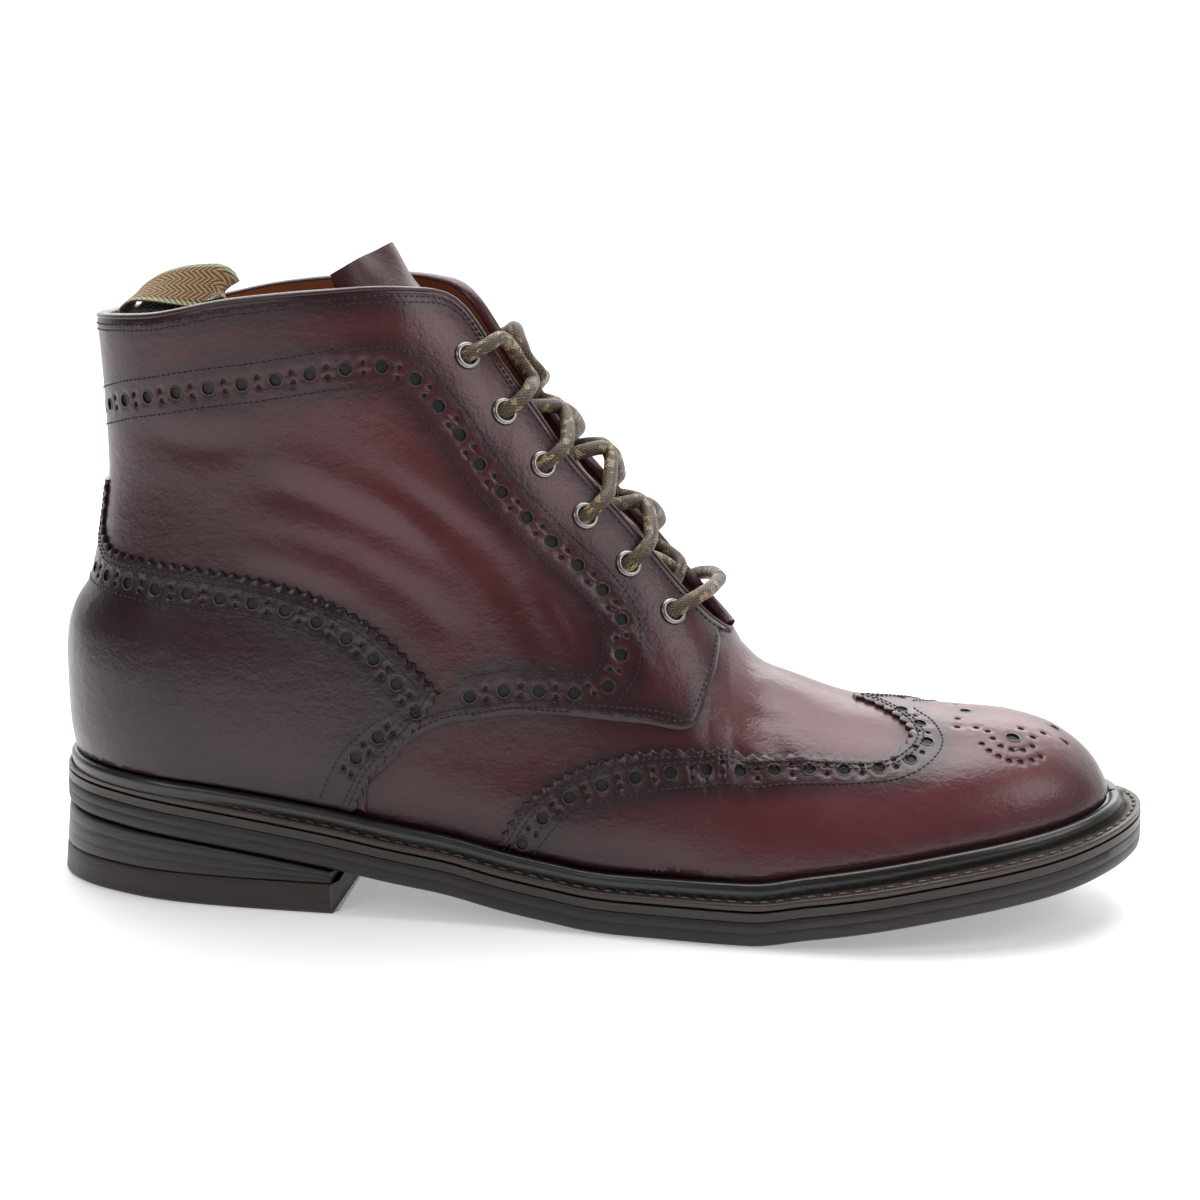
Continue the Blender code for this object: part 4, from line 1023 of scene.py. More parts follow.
# %% [markdown]
# ## Cutting a panel
# A panel is cut from its outline on the map: the outline, the perforations and a grid of
# inside points are joined by a Delaunay triangulation, each point is lifted off the last, and
# walls close the edges. A boolean could cut the holes too, but it would leave long thin
# faces that shade badly on soft leather.
# %% Panel builder
def inside_polygon(points, ring):
    x, y = points[:, 0][:, None], points[:, 1][:, None]
    x0, y0 = ring[:, 0], ring[:, 1]
    x1, y1 = np.roll(x0, -1), np.roll(y0, -1)
    cross = ((y0 > y) != (y1 > y)) & (x < (x1 - x0) * (y - y0) / (y1 - y0 + 1e-15) + x0)
    return cross.sum(1) % 2 == 1


def loop_inward(kind, ring, by):
    """Ring moved inwards on the surface by the given distance, kept within the map."""
    p = on_map(kind, ring)
    run = np.roll(p, -1, 0) - np.roll(p, 1, 0)
    run /= np.maximum(np.linalg.norm(run, axis=1), 1e-12)[:, None]
    left = np.cross(normals_at(kind, ring), run)
    return shifted(kind, ring, left * by)


def hole_rings(kind, holes):
    """Ring of every hole and a slightly wider ring round it, worked out in one go."""
    if not holes:
        return []
    count = np.array([12 if radius > 0.001 else 7 for place, radius in holes])
    spot = np.repeat(np.array([place for place, radius in holes]), count, 0)
    radius = np.repeat(np.array([radius for place, radius in holes]), count)
    turn = np.concatenate([np.arange(c) * 2 * math.pi / c for c in count])
    along = slopes(kind, spot)[0]
    n = normals_at(kind, spot)
    e = along / np.linalg.norm(along, axis=1)[:, None]
    f = np.cross(n, e)
    move = e * np.cos(turn)[:, None] + f * np.sin(turn)[:, None]
    cut = shifted(kind, spot, move * radius[:, None])
    wider = radius + np.where(radius > 0.001, 0.00055, 0.00030)
    rim = shifted(kind, spot, move * wider[:, None])
    ends = np.cumsum(count)[:-1]
    return list(zip(np.split(cut, ends), np.split(rim, ends)))


def far_enough(points, others, gap):
    keep = np.ones(len(points), bool)
    for start in range(0, len(points), 400):
        part = points[start:start + 400]
        d = np.sqrt(((part[:, None] - others[None]) ** 2).sum(2)).min(1)
        keep[start:start + 400] = d > gap
    return keep


def build_panel(name, kind, ring, holes, low, high, mats, nodes, fold=0.0004,
                grid=0.0016, soft=0.0):
    """Closed leather panel between two heights; fold rounds its edge."""
    p = on_map(kind, ring)
    spread = np.ptp(ring, axis=0)
    box = ring.min(0)
    mid = ring.mean(0)
    samples = np.stack([np.linspace(box[0], box[0] + spread[0], 80), np.full(80, mid[1])], -1)
    run_a = lengths(kind, samples)[-1]
    samples = np.stack([np.full(80, mid[0]), np.linspace(box[1], box[1] + spread[1], 80)], -1)
    run_b = lengths(kind, samples)[-1]
    scale = np.array([run_a / spread[0], run_b / spread[1]]) * 1000
    points, heights, edges = [ring], [np.full(len(ring), high - fold * 0.85)], []
    count = len(ring)
    edges += [(i, (i + 1) % count) for i in range(count)]
    near = [p]
    inner = loop_inward(kind, ring, fold * 0.9)
    ok = inside_polygon(inner, ring) & far_enough(on_map(kind, inner), p, fold * 0.45)
    points.append(inner[ok])
    heights.append(np.full(int(ok.sum()), high - fold * 0.10))
    near.append(on_map(kind, inner[ok]))
    total = count + int(ok.sum())
    rings = []
    for cut, collar in hole_rings(kind, holes):
        corners = len(cut)
        rings.append(cut)
        points.append(cut)
        heights.append(np.full(corners, high - 0.00022))
        edges += [(total + i, total + (i + 1) % corners) for i in range(corners)]
        total += corners
        points.append(collar)
        heights.append(np.full(corners, high))
        total += corners
        near += [on_map(kind, cut), on_map(kind, collar)]
    na = max(int(run_a / grid), 6)
    nb = max(int(run_b / grid), 6)
    a, b = np.meshgrid(np.linspace(box[0], box[0] + spread[0], na),
                       np.linspace(box[1], box[1] + spread[1], nb), indexing="ij")
    a = a + np.where(np.arange(nb) % 2 == 0, 0.0, spread[0] / na * 0.5)[None]
    fill = np.stack([a.ravel(), b.ravel()], -1)
    fill = fill[inside_polygon(fill, ring)]
    fill = fill[far_enough(on_map(kind, fill), np.concatenate(near), grid * 0.52)]
    points.append(fill)
    heights.append(np.full(len(fill), high))
    q = np.concatenate(points)
    heights = np.concatenate(heights)
    flat = [Vector(v) for v in (q * scale)]
    verts, _, tris, origin, _, _ = delaunay_2d_cdt(flat, edges, [], 0, 1e-5)
    places = np.array([v[:] for v in verts]) / scale
    lift = np.array([heights[o[0]] if o else high for o in origin])
    tris = np.array([t[:3] for t in tris])
    middle = places[tris].mean(1)
    keep = inside_polygon(middle, ring)
    for cut in rings:
        low_box, high_box = cut.min(0), cut.max(0)
        maybe = np.all((middle > low_box) & (middle < high_box), axis=1) & keep
        if maybe.any():
            hit = np.zeros(len(middle), bool)
            hit[maybe] = inside_polygon(middle[maybe], cut)
            keep &= ~hit
    tris = tris[keep]
    used = np.unique(tris)
    new = np.full(len(places), -1)
    new[used] = np.arange(len(used))
    tris = new[tris]
    places, lift = places[used], lift[used]
    p = on_map(kind, places)
    n = normals_at(kind, places)
    h = crease_height(p)
    top = p + n * (h + lift)[:, None]
    bottom = p + n * (h + low)[:, None]
    corners = p[tris]
    facing = (np.cross(corners[:, 1] - corners[:, 0], corners[:, 2] - corners[:, 0])
              * n[tris[:, 0]]).sum(1)
    tris = np.where((facing < 0)[:, None], tris[:, ::-1], tris)
    half = {}
    for t in tris:
        for k in range(3):
            half[(t[k], t[(k + 1) % 3])] = True
    total = len(places)
    faces = [tuple(t) for t in tris] + [tuple(i + total for i in t[::-1]) for t in tris]
    index = [0] * len(faces)
    for (a0, b0) in half:
        if (b0, a0) not in half:
            faces.append((b0, a0, a0 + total, b0 + total))
            index.append(len(mats) - 1)
    thing = make_piece(name, np.concatenate([top, bottom]), faces, mats, nodes,
                       index, sharp=42)
    LEATHER_PIECES.append(thing)
    return thing


FACE = CLEAR + OVERLAY                # outer face of quarter and wing cap
OVER = 2 * FACE                       # outer face of the counter
BEAD_TOP = BEAD_HEIGHT + 2 * CLEAR


def foot_line(kind, a0, a1, count, over=BEAD_TOP):
    """Line just above the welt's bead, between two places along the boot."""
    a = np.linspace(a0, a1, count)
    q = np.stack([a, np.full(count, 0.05)], -1)
    for turn in range(6):
        p = on_map(kind, q)
        gap = feather(p[:, 0]) + over - p[:, 2]
        rise = slopes(kind, q)[1][:, 2]
        q[:, 1] = np.clip(q[:, 1] + gap / np.maximum(rise, 1e-4), 0.0, 0.6)
    return q


# %% [markdown]
# ## Rows on the overlays
# Each line below is one that can be seen on the boot: the collar band, the counter, the wing
# cap. The same code draws both sides; only the side of the line that is "inside" changes.
# %% Lines, rows and holes of the quarters, counter and wing cap
holes = {"quarter_lateral": [], "quarter_medial": [], "counter": [], "wing_cap": []}


def bisect_height(kind, a, over):
    """Places on the map at a height over the feather, for given places along it."""
    low, high = np.zeros(len(a)), np.full(len(a), 1.0)
    for turn in range(30):
        mid = (low + high) / 2
        p = on_map(kind, np.stack([a, mid], -1))
        under = p[:, 2] - feather(p[:, 0]) < over
        low = np.where(under, mid, low)
        high = np.where(under, high, mid)
    return np.stack([a, (low + high) / 2], -1)


def from_seam(share, away):
    """Places beside the back seam, a set distance round the heel from it."""
    q = np.stack([np.full(len(share), 0.002), np.array(share, float)], -1)
    for turn in range(24):
        along = slopes("back", q)[0]
        e = along / np.linalg.norm(along, axis=1)[:, None]
        q = shifted("back", q, e * (np.asarray(away, float)[:, None] / 24))
    return q


def pattern_places(rows, kind, dense=False):
    rows = np.array(rows, float)
    if dense and len(rows) > 3:
        run = np.hypot(np.diff(rows[:, 0]), np.diff(rows[:, 1]) * 0.35)
        run = np.concatenate([[0], np.cumsum(run)])
        fine = np.linspace(0, run[-1], len(rows) * 8)
        rows = np.stack([smooth(list(zip(run, rows[:, k])))(fine) for k in (0, 1)], -1)
    x = rows[:, 0] * SOLE_LENGTH
    low = feather(x)
    z = low + (top_line(x) - low) * rows[:, 1]
    return find_place(1 if kind == "medial" else -1, x, z)


def below_edge(kind, u, away):
    """Places a set distance under the top edge, measured down the map."""
    top = on_map(kind, np.stack([u, np.ones(len(u))], -1))
    low, high = np.full(len(u), 0.4), np.ones(len(u))
    for turn in range(24):
        mid = (low + high) / 2
        gone = np.linalg.norm(on_map(kind, np.stack([u, mid], -1)) - top, axis=1)
        high = np.where(gone > away, high, mid)
        low = np.where(gone > away, mid, low)
    return even(kind, np.stack([u, (low + high) / 2], -1))


def even(kind, q, step=0.0015):
    return resample(kind, q, step, False)


def off(kind, q, by):
    return offset_line(kind, q, -by if kind == "medial" else by)


def punch(name, kind, q, height, pitch=0.0094, radius=0.00175, ends=True):
    """Big perforations at an even pitch along a line, with a pair of small ones between."""
    total = lengths(kind, q)[-1]
    count = max(int(round(total / pitch)), 1)
    places = resample(kind, q, total / count, False)
    left = line_frame(kind, places)[3]
    for i in range(len(places)):
        if ends or 0 < i < len(places) - 1:
            holes[name].append((kind, places[i], height, radius))
        if i + 1 < len(places):
            mid = (places[i:i + 1] + places[i + 1:i + 2]) / 2
            for by in (-0.00135, 0.00135):
                spot = shifted(kind, mid, left[i:i + 1] * by)[0]
                holes[name].append((kind, spot, height, 0.00075))


for kind in ("lateral", "medial"):
    name = "quarter_" + kind
    seam = from_seam([0.800], [0.0045])
    band = even(kind, np.concatenate([seam, pattern_places(BAND_HOLES[1:], kind, True)]))
    punch(name, kind, band, FACE)
    add_stitches(kind, off(kind, band, -BAND_OFFSET), FACE)
    upper_band = np.concatenate([seam, pattern_places(BAND_HOLES[1:24], kind, True)])
    add_stitches(kind, off(kind, even(kind, upper_band), BAND_OFFSET), FACE)
    for away in (0.0019, 0.0035):
        add_stitches(kind, below_edge(kind, np.linspace(0.03, 1.16, 90), away), FACE)
    add_stitches(kind, below_edge(kind, np.linspace(1.16, 1.93, 90), 0.0026), FACE)
    front = even(kind, pattern_places(QUARTER_LINE[1:], kind, True))
    add_stitches(kind, trimmed(kind, off(kind, front, 0.0020), 0.0, 0.004), FACE)
    add_stitches(kind, trimmed(kind, off(kind, front, 0.0036), 0.0, 0.034), FACE)
    lower = even(kind, pattern_places(BAND_HOLES[24:], kind, True))
    add_stitches(kind, off(kind, lower, BAND_OFFSET), FACE)

counter_top = np.concatenate([from_seam([0.640, 0.605, 0.570, 0.540], [0.0086] * 4),
                              pattern_places(COUNTER_LINE[1:], "lateral", True)])
counter_top = even("back", counter_top)
counter_down = even("back", pattern_places(COUNTER_DOWN, "lateral", True))
COUNTER_HOLES = [
    (0.0724, 0.438), (0.1043, 0.431), (0.1358, 0.426), (0.1656, 0.417), (0.1964, 0.411),
    (0.2272, 0.403), (0.2573, 0.387), (0.2855, 0.362), (0.3100, 0.332), (0.3318, 0.293),
    (0.3501, 0.245),
]
COUNTER_HOLES_DOWN = [(0.3390, 0.225), (0.3180, 0.190), (0.2989, 0.147), (0.2822, 0.087)]
COUNTER_SIDE = [(0.3321, 0.240), (0.3120, 0.208), (0.2952, 0.174), (0.2789, 0.125),
                (0.2643, 0.053)]
WING_HOLES = [
    (0.4470, 0.060), (0.4543, 0.092), (0.4786, 0.184), (0.5117, 0.266), (0.5443, 0.336),
    (0.5767, 0.410), (0.6080, 0.482), (0.6388, 0.560), (0.6715, 0.617), (0.7039, 0.654),
    (0.7354, 0.686), (0.7652, 0.715), (0.7900, 0.790), (0.8015, 0.890), (0.7950, 0.957),
    (0.7790, 0.990),
]
low_row = np.concatenate([from_seam([0.452], [0.002]), pattern_places(COUNTER_HOLES, "lateral", True)])
counter_hole_line = even("back", low_row)
counter_side_line = even("back", pattern_places(COUNTER_HOLES_DOWN, "lateral", True))
counter_side_row = even("back", pattern_places(COUNTER_SIDE, "lateral", True))
wing_line = even("top", pattern_places(WING_LINE, "lateral", True))
wing_hole_line = even("top", pattern_places(WING_HOLES, "lateral", True))


def own_half(q, half):
    """The part of a row that stays on its own side of the ridge."""
    return q[q[:, 1] < 0.996] if half > 0 else q[q[:, 1] > 1.004]


for half in (1, -1):
    def turned(q, kind):
        return q if half > 0 else mirrored(q, kind)

    # a mirrored line has its inside on the other hand
    hand = -half
    punch("counter", "back", turned(counter_hole_line, "back"), OVER)
    punch("counter", "back", turned(counter_side_line, "back"), OVER, ends=False)
    rows = [(counter_top, 0.0026), (counter_top, 0.0041), (counter_down, 0.0026),
            (counter_down, 0.0041)]
    for q, by in rows:
        q = trimmed("back", q, 0.0015, 0.0028 if q is counter_top else 0.0)
        add_stitches("back", offset_line("back", turned(q, "back"), hand * by), OVER)
    lower = trimmed("back", counter_hole_line, 0.0, 0.005)
    add_stitches("back", offset_line("back", turned(lower, "back"), hand * 0.0040), OVER)
    add_stitches("back", turned(counter_side_row, "back"), OVER)
    punch("wing_cap", "top", turned(wing_hole_line, "top"), FACE)
    for by in (0.0026, 0.0041):
        row = offset_line("top", turned(wing_line, "top"), hand * by)
        add_stitches("top", own_half(row, half), FACE)
    row = offset_line("top", turned(wing_hole_line, "top"), hand * 0.0042)
    add_stitches("top", own_half(row, half), FACE)

MEDAL_BIG = [(0.8778, 0.915)]
MEDAL_MIDDLE = [(0.838, 0.00155), (0.9180, 0.00155)]
MEDAL_SMALL = [
    (0.8560, 0.835), (0.8640, 0.800), (0.8730, 0.772), (0.8830, 0.765), (0.8930, 0.782),
    (0.9010, 0.812), (0.8500, 0.875), (0.8600, 0.905), (0.8665, 0.862), (0.8760, 0.842),
    (0.8860, 0.845), (0.8945, 0.875), (0.8960, 0.930), (0.8290, 0.955), (0.8460, 0.955),
    (0.8560, 0.940), (0.8860, 0.965), (0.9060, 0.965), (0.9260, 0.962), (0.8300, 0.985),
]
for half in (1, -1):
    for x_share, v in MEDAL_BIG + MEDAL_SMALL:
        place = pattern_places([(x_share, v)], "lateral")
        place = place if half > 0 else mirrored(place, "top")
        size = 0.0019 if (x_share, v) in MEDAL_BIG else 0.00088
        holes["wing_cap"].append(("top", place[0], FACE, size))
for x_share, size in MEDAL_MIDDLE:
    place = pattern_places([(x_share, 1.0)], "lateral")
    place[0, 1] = 1.0
    holes["wing_cap"].append(("top", place[0], FACE, size))
print("perforations:", sum(len(v) for v in holes.values()), "stitch rows:", len(stitch_rows))

# %% [markdown]
# ## The overlays
# The quarters come first, folded over at their front, throat and collar edges. The counter
# lies on them and the wing cap on the vamp, both with a gimped, saw-toothed edge, which the
# real pieces get from a pinking punch.
# %% Quarter panels
def panel_holes(name):
    return [(place, radius) for kind, place, height, radius in holes[name]]


for kind in ("lateral", "medial"):
    front = pattern_places(QUARTER_LINE[1:], kind, True)
    start = bisect_height(kind, front[:1, 0], BEAD_TOP)
    front = even(kind, np.concatenate([start, front]), 0.0014)
    seam_s = np.linspace(1.0, 0.0, 90)
    seam = from_seam(seam_s, np.full(90, 0.0002))
    seam = seam[seam[:, 1] > bisect_height(kind, seam[:, 0], BEAD_TOP)[:, 1]]
    foot = bisect_height(kind, np.linspace(seam[-1, 0], start[0, 0], 150), BEAD_TOP)
    top = np.stack([np.linspace(1.985, seam[0, 0], 200), np.ones(200)], -1)
    ring = [even(kind, foot, 0.0016)[:-1], front[:-1], even(kind, top, 0.0014)[:-1],
            even(kind, seam, 0.0016)[:-1]]
    ring = np.concatenate(ring)
    ring = ring if kind == "lateral" else ring[::-1]
    build_panel("quarter_panel_" + kind, kind, ring, panel_holes("quarter_" + kind),
                -0.0002, FACE, [leather], ["quarter_" + kind], fold=0.0009)

# %% Counter
top_cut = gimped("back", counter_top)
down_cut = gimped("back", counter_down)
end_a = float(counter_down[-1, 0])
foot = bisect_height("back", np.linspace(-end_a, end_a, 240), BEAD_TOP)
foot = resample("back", foot, 0.0016, False)
half_ring = np.concatenate([down_cut[::-1], top_cut[::-1][1:]])
strip = np.stack([np.linspace(top_cut[0, 0], -top_cut[0, 0], 14),
                  np.full(14, top_cut[0, 1])], -1)[1:-1]
ring = np.concatenate([foot[1:-1], half_ring, strip, mirrored(half_ring, "back")[::-1]])
build_panel("counter_panel", "back", ring, panel_holes("counter"), FACE - 0.0002, OVER,
            [counter_leather], ["counter"], fold=0.0004)

# %% Wing cap
wing_cut = gimped("top", wing_line)
wing_cut[-1, 1] = min(wing_cut[-1, 1], 1.0)
low_u, high_u = 2.5, 3.0
for turn in range(40):
    mid_u = (low_u + high_u) / 2
    tip = map_side(-1, np.array([mid_u]), np.array([1.0]))[0]
    low_u, high_u = (mid_u, high_u) if tip[2] - feather(tip[0]) > BEAD_TOP else (low_u, mid_u)
wing_start = float(wing_cut[0, 0])
along = low_u - (low_u - wing_start) * (1 - np.linspace(0, 1, 500)) ** 3
foot = bisect_height("top", along, BEAD_TOP)
foot = foot[foot[:, 1] < 0.999]
foot = np.concatenate([foot, [(low_u, 1.0)]])
foot = np.concatenate([foot, mirrored(foot[:-1], "top")[::-1]])
foot = resample("top", foot, 0.0016, False)
wing_half = wing_cut[wing_cut[:, 1] < 0.992]
wing_half = np.concatenate([wing_half, [(wing_half[-1, 0] - 0.004, 1.0)]])
ring = np.concatenate([foot, mirrored(wing_half, "top")[1:], wing_half[::-1][1:-1]])
build_panel("wing_cap_panel", "top", ring, panel_holes("wing_cap"), -0.0002, FACE,
            [leather], ["wing_cap"], fold=0.0004)

# %% [markdown]
# ## Stitches and perforations with Geometry Nodes
# Thousands of equal stitches along a row are just what instancing is for. The rows become a
# cloud of points that carry their direction and their outward normal; a node tree puts one
# short thread on each, realizes them, and the result is kept as a plain mesh.
# %% Instancing trees
def open_tree(name, inputs):
    tree = bpy.data.node_groups.new(name, "GeometryNodeTree")
    tree.interface.new_socket("Geometry", in_out="INPUT", socket_type="NodeSocketGeometry")
    for label, value in inputs:
        kind = "NodeSocketInt" if isinstance(value, int) else "NodeSocketFloat"
        socket = tree.interface.new_socket(label, in_out="INPUT", socket_type=kind)
        socket.default_value = value
    tree.interface.new_socket("Geometry", in_out="OUTPUT", socket_type="NodeSocketGeometry")
    return tree, tree.nodes.new("NodeGroupInput"), tree.nodes.new("NodeGroupOutput")


def named_vector(tree, name):
    node = tree.nodes.new("GeometryNodeInputNamedAttribute")
    node.data_type = "FLOAT_VECTOR"
    node.inputs["Name"].default_value = name
    return node.outputs["Attribute"]


def close_tree(tree, entry, leave, shape, material, scale=None):
    """Shape on every point, turned to its normal and direction, realized and painted."""
    turn = tree.nodes.new("FunctionNodeAxesToRotation")
    turn.primary_axis = "Z"
    turn.secondary_axis = "X"
    tree.links.new(named_vector(tree, "normal"), turn.inputs[0])
    tree.links.new(named_vector(tree, "along"), turn.inputs[1])
    put = tree.nodes.new("GeometryNodeInstanceOnPoints")
    tree.links.new(entry.outputs["Geometry"], put.inputs["Points"])
    tree.links.new(shape, put.inputs["Instance"])
    tree.links.new(turn.outputs[0], put.inputs["Rotation"])
    if scale is not None:
        tree.links.new(scale, put.inputs["Scale"])
    real = tree.nodes.new("GeometryNodeRealizeInstances")
    paint = tree.nodes.new("GeometryNodeSetMaterial")
    paint.inputs["Material"].default_value = material
    tree.links.new(put.outputs[0], real.inputs[0])
    tree.links.new(real.outputs[0], paint.inputs["Geometry"])
    tree.links.new(paint.outputs[0], leave.inputs["Geometry"])


def stitch_tree(name, material, long, wide, high):
    """A thread: a stretched ball, with a little random length from a fixed seed."""
    tree, entry, leave = open_tree(name, (("Stitch length", long), ("Thread width", wide),
                                          ("Thread height", high), ("Seed", 7)))
    ball = add_node(tree, "GeometryNodeMeshUVSphere", {"Segments": 6, "Rings": 5, "Radius": 0.5})
    size = add_node(tree, "ShaderNodeCombineXYZ", {0: entry.outputs["Stitch length"],
                                                   1: entry.outputs["Thread width"],
                                                   2: entry.outputs["Thread height"]})
    shape = add_node(tree, "GeometryNodeTransform", {"Geometry": ball.outputs["Mesh"],
                                                     "Scale": size.outputs[0]})
    vary = tree.nodes.new("FunctionNodeRandomValue")
    vary.data_type = "FLOAT"
    next(s for s in vary.inputs if s.identifier == "Min_001").default_value = 0.88
    next(s for s in vary.inputs if s.identifier == "Max_001").default_value = 1.08
    tree.links.new(entry.outputs["Seed"], vary.inputs["Seed"])
    scale = add_node(tree, "ShaderNodeCombineXYZ", {1: 1.0, 2: 1.0})
    tree.links.new(next(s for s in vary.outputs if s.identifier == "Value_001"),
                   scale.inputs[0])
    close_tree(tree, entry, leave, shape.outputs[0], material, scale.outputs[0])
    return tree


def ring_tree(name, material, round_, thick, squash, corners=14, fine=6, barrel=0.0):
    """A ring: a circle swept along a circle, flattened; with a short tube for an eyelet."""
    tree, entry, leave = open_tree(name, (("Ring radius", round_), ("Rim thickness", thick),
                                          ("Flatness", squash), ("Barrel depth", barrel)))
    path = add_node(tree, "GeometryNodeCurvePrimitiveCircle",
                    {"Resolution": corners, "Radius": entry.outputs["Ring radius"]})
    rim = add_node(tree, "GeometryNodeCurvePrimitiveCircle",
                   {"Resolution": fine, "Radius": entry.outputs["Rim thickness"]})
    sweep = add_node(tree, "GeometryNodeCurveToMesh", {"Curve": path.outputs[0],
                                                       "Profile Curve": rim.outputs[0]})
    size = add_node(tree, "ShaderNodeCombineXYZ", {0: 1.0, 1: 1.0,
                                                   2: entry.outputs["Flatness"]})
    shape = add_node(tree, "GeometryNodeTransform", {"Geometry": sweep.outputs[0],
                                                     "Scale": size.outputs[0]}).outputs[0]
    if barrel:
        bore = calc(tree, "SUBTRACT", entry.outputs["Ring radius"],
                    calc(tree, "MULTIPLY", entry.outputs["Rim thickness"], 0.75))
        tube = add_node(tree, "GeometryNodeMeshCylinder",
                        {"Vertices": corners, "Radius": bore,
                         "Depth": entry.outputs["Barrel depth"]}, fill_type="NONE")
        down = add_node(tree, "ShaderNodeCombineXYZ", {2: calc(
            tree, "MULTIPLY", entry.outputs["Barrel depth"], -0.5)})
        tube = add_node(tree, "GeometryNodeTransform", {"Geometry": tube.outputs["Mesh"],
                                                        "Translation": down.outputs[0]})
        flip = add_node(tree, "GeometryNodeFlipFaces", {"Mesh": tube.outputs[0]})
        join = tree.nodes.new("GeometryNodeJoinGeometry")
        tree.links.new(shape, join.inputs[0])
        tree.links.new(flip.outputs[0], join.inputs[0])
        shape = join.outputs[0]
    size_now = named_vector(tree, "size")
    close_tree(tree, entry, leave, shape, material, size_now)
    return tree


def plug_tree(name, material):
    """A short closed cylinder at the bottom of a perforation; its near-black finish is painted shade.
    """
    tree, entry, leave = open_tree(name, (("Plug radius", 1.0), ("Plug depth", 0.3)))
    disc = add_node(tree, "GeometryNodeMeshCylinder",
                    {"Vertices": 10, "Radius": entry.outputs["Plug radius"],
                     "Depth": entry.outputs["Plug depth"]})
    close_tree(tree, entry, leave, disc.outputs["Mesh"], material, named_vector(tree, "size"))
    return tree


def grown(name, tree, points, along, normals, sizes=None, nodes=(), smooth_it=True):
    """Runs a tree on a cloud of points and keeps the result as a plain mesh piece."""
    mesh = bpy.data.meshes.new(name)
    mesh.from_pydata([tuple(p) for p in np.asarray(points) + (SHIFT, 0, 0)], [], [])
    for key, data in (("along", along), ("normal", normals), ("size", sizes)):
        if data is not None:
            layer = mesh.attributes.new(key, "FLOAT_VECTOR", "POINT")
            layer.data.foreach_set("vector", np.asarray(data, np.float32).ravel())
    cloud = bpy.data.objects.new(name + "_points", mesh)
    bpy.context.scene.collection.objects.link(cloud)
    cloud.modifiers.new("grow", "NODES").node_group = tree
    view = bpy.context.evaluated_depsgraph_get()
    made = bpy.data.meshes.new_from_object(cloud.evaluated_get(view),
                                           preserve_all_data_layers=False, depsgraph=view)
    bpy.data.objects.remove(cloud, do_unlink=True)
    made.name = name
    for key in [a.name for a in made.attributes if a.name in ("along", "normal", "size")]:
        made.attributes.remove(made.attributes[key])
    if smooth_it:
        made.shade_smooth()
    thing = bpy.data.objects.new(name, made)
    bpy.context.scene.collection.objects.link(thing)
    finish_piece(thing, nodes)
    return thing


# %% Stitches and perforations
DARK_LINES = []       # points where the polish gathers


def rows_to_points(rows, lift):
    points, along, out = [], [], []
    for kind, q, height in rows:
        p, run, n, left = line_frame(kind, q)
        points.append(p + n * (crease_height(p) + height + lift)[:, None])
        along.append(run)
        out.append(n)
    return np.concatenate(points), np.concatenate(along), np.concatenate(out)


points, along, out = rows_to_points(stitch_rows, 0.00006)
DARK_LINES.append(points)
grown("upper_stitches", stitch_tree("overlay_stitches", thread, 0.00148, 0.00056, 0.00050),
      points, along, out)

places = {"big": [], "small": []}
for rows in holes.values():
    for kind, place, height, radius in rows:
        q = np.array([place])
        p = on_map(kind, q)
        n = normals_at(kind, q)
        e = slopes(kind, q)[0]
        e /= np.linalg.norm(e)
        base = p + n * (crease_height(p) + height)[:, None]
        places["big" if radius > 0.001 else "small"].append((base[0], e[0], n[0], radius))
every = places["big"] + places["small"]
# plugs at the bottom of every perforation, near-black as painted shade
floor_points = np.array([b - n * 0.00075 for b, e, n, r in every])
grown("perforation_shade_plugs", plug_tree("perforation_shade_plug", painted_hole_shade), floor_points,
      [e for b, e, n, r in every], [n for b, e, n, r in every],
      [(r * 1.05, r * 1.05, 0.0012) for b, e, n, r in every], smooth_it=False)
grown("perforation_lips", ring_tree("perforation_lip", hole_lip, 1.0, 0.16, 0.75),
      [b - n * 0.00016 for b, e, n, r in places["big"]], [e for b, e, n, r in places["big"]],
      [n for b, e, n, r in places["big"]],
      [(r * 1.10, r * 1.10, r * 1.10) for b, e, n, r in places["big"]])
DARK_LINES.append(np.array([b for b, e, n, r in places["big"]]))


# %% [markdown]
# ## Sole, heel and welt
# The sole is built up as it is at the bench: outsole and midsole with a burnished edge, a flat
# welt with its seam, and the storm bead that closes the gap against the upper. Each one is a
# loft of sections across the boot, fine enough for a clean highlight along the edge.
# %% Lofts of the sole
FOOT_START = FOOT_BACK
ANGLES = np.linspace(0.0, math.pi, 181)


def sole_point(side, angle, inset=0.0):
    """Point of the sole's outline, moved in by an inset."""
    t = (1 - np.cos(angle)) / 2
    x = inset + (SOLE_LENGTH - 2 * inset) * t
    table = outline_out if side < 0 else outline_in
    wide = BALL_WIDTH * table(x / SOLE_LENGTH) - inset
    heel = round_end((x - inset) / (HEEL_ROUND * 1.17 - inset))
    toe = round_end((SOLE_LENGTH - inset - x) / (TOE_ROUND * 1.09 - inset))
    return x, side * wide * heel * toe


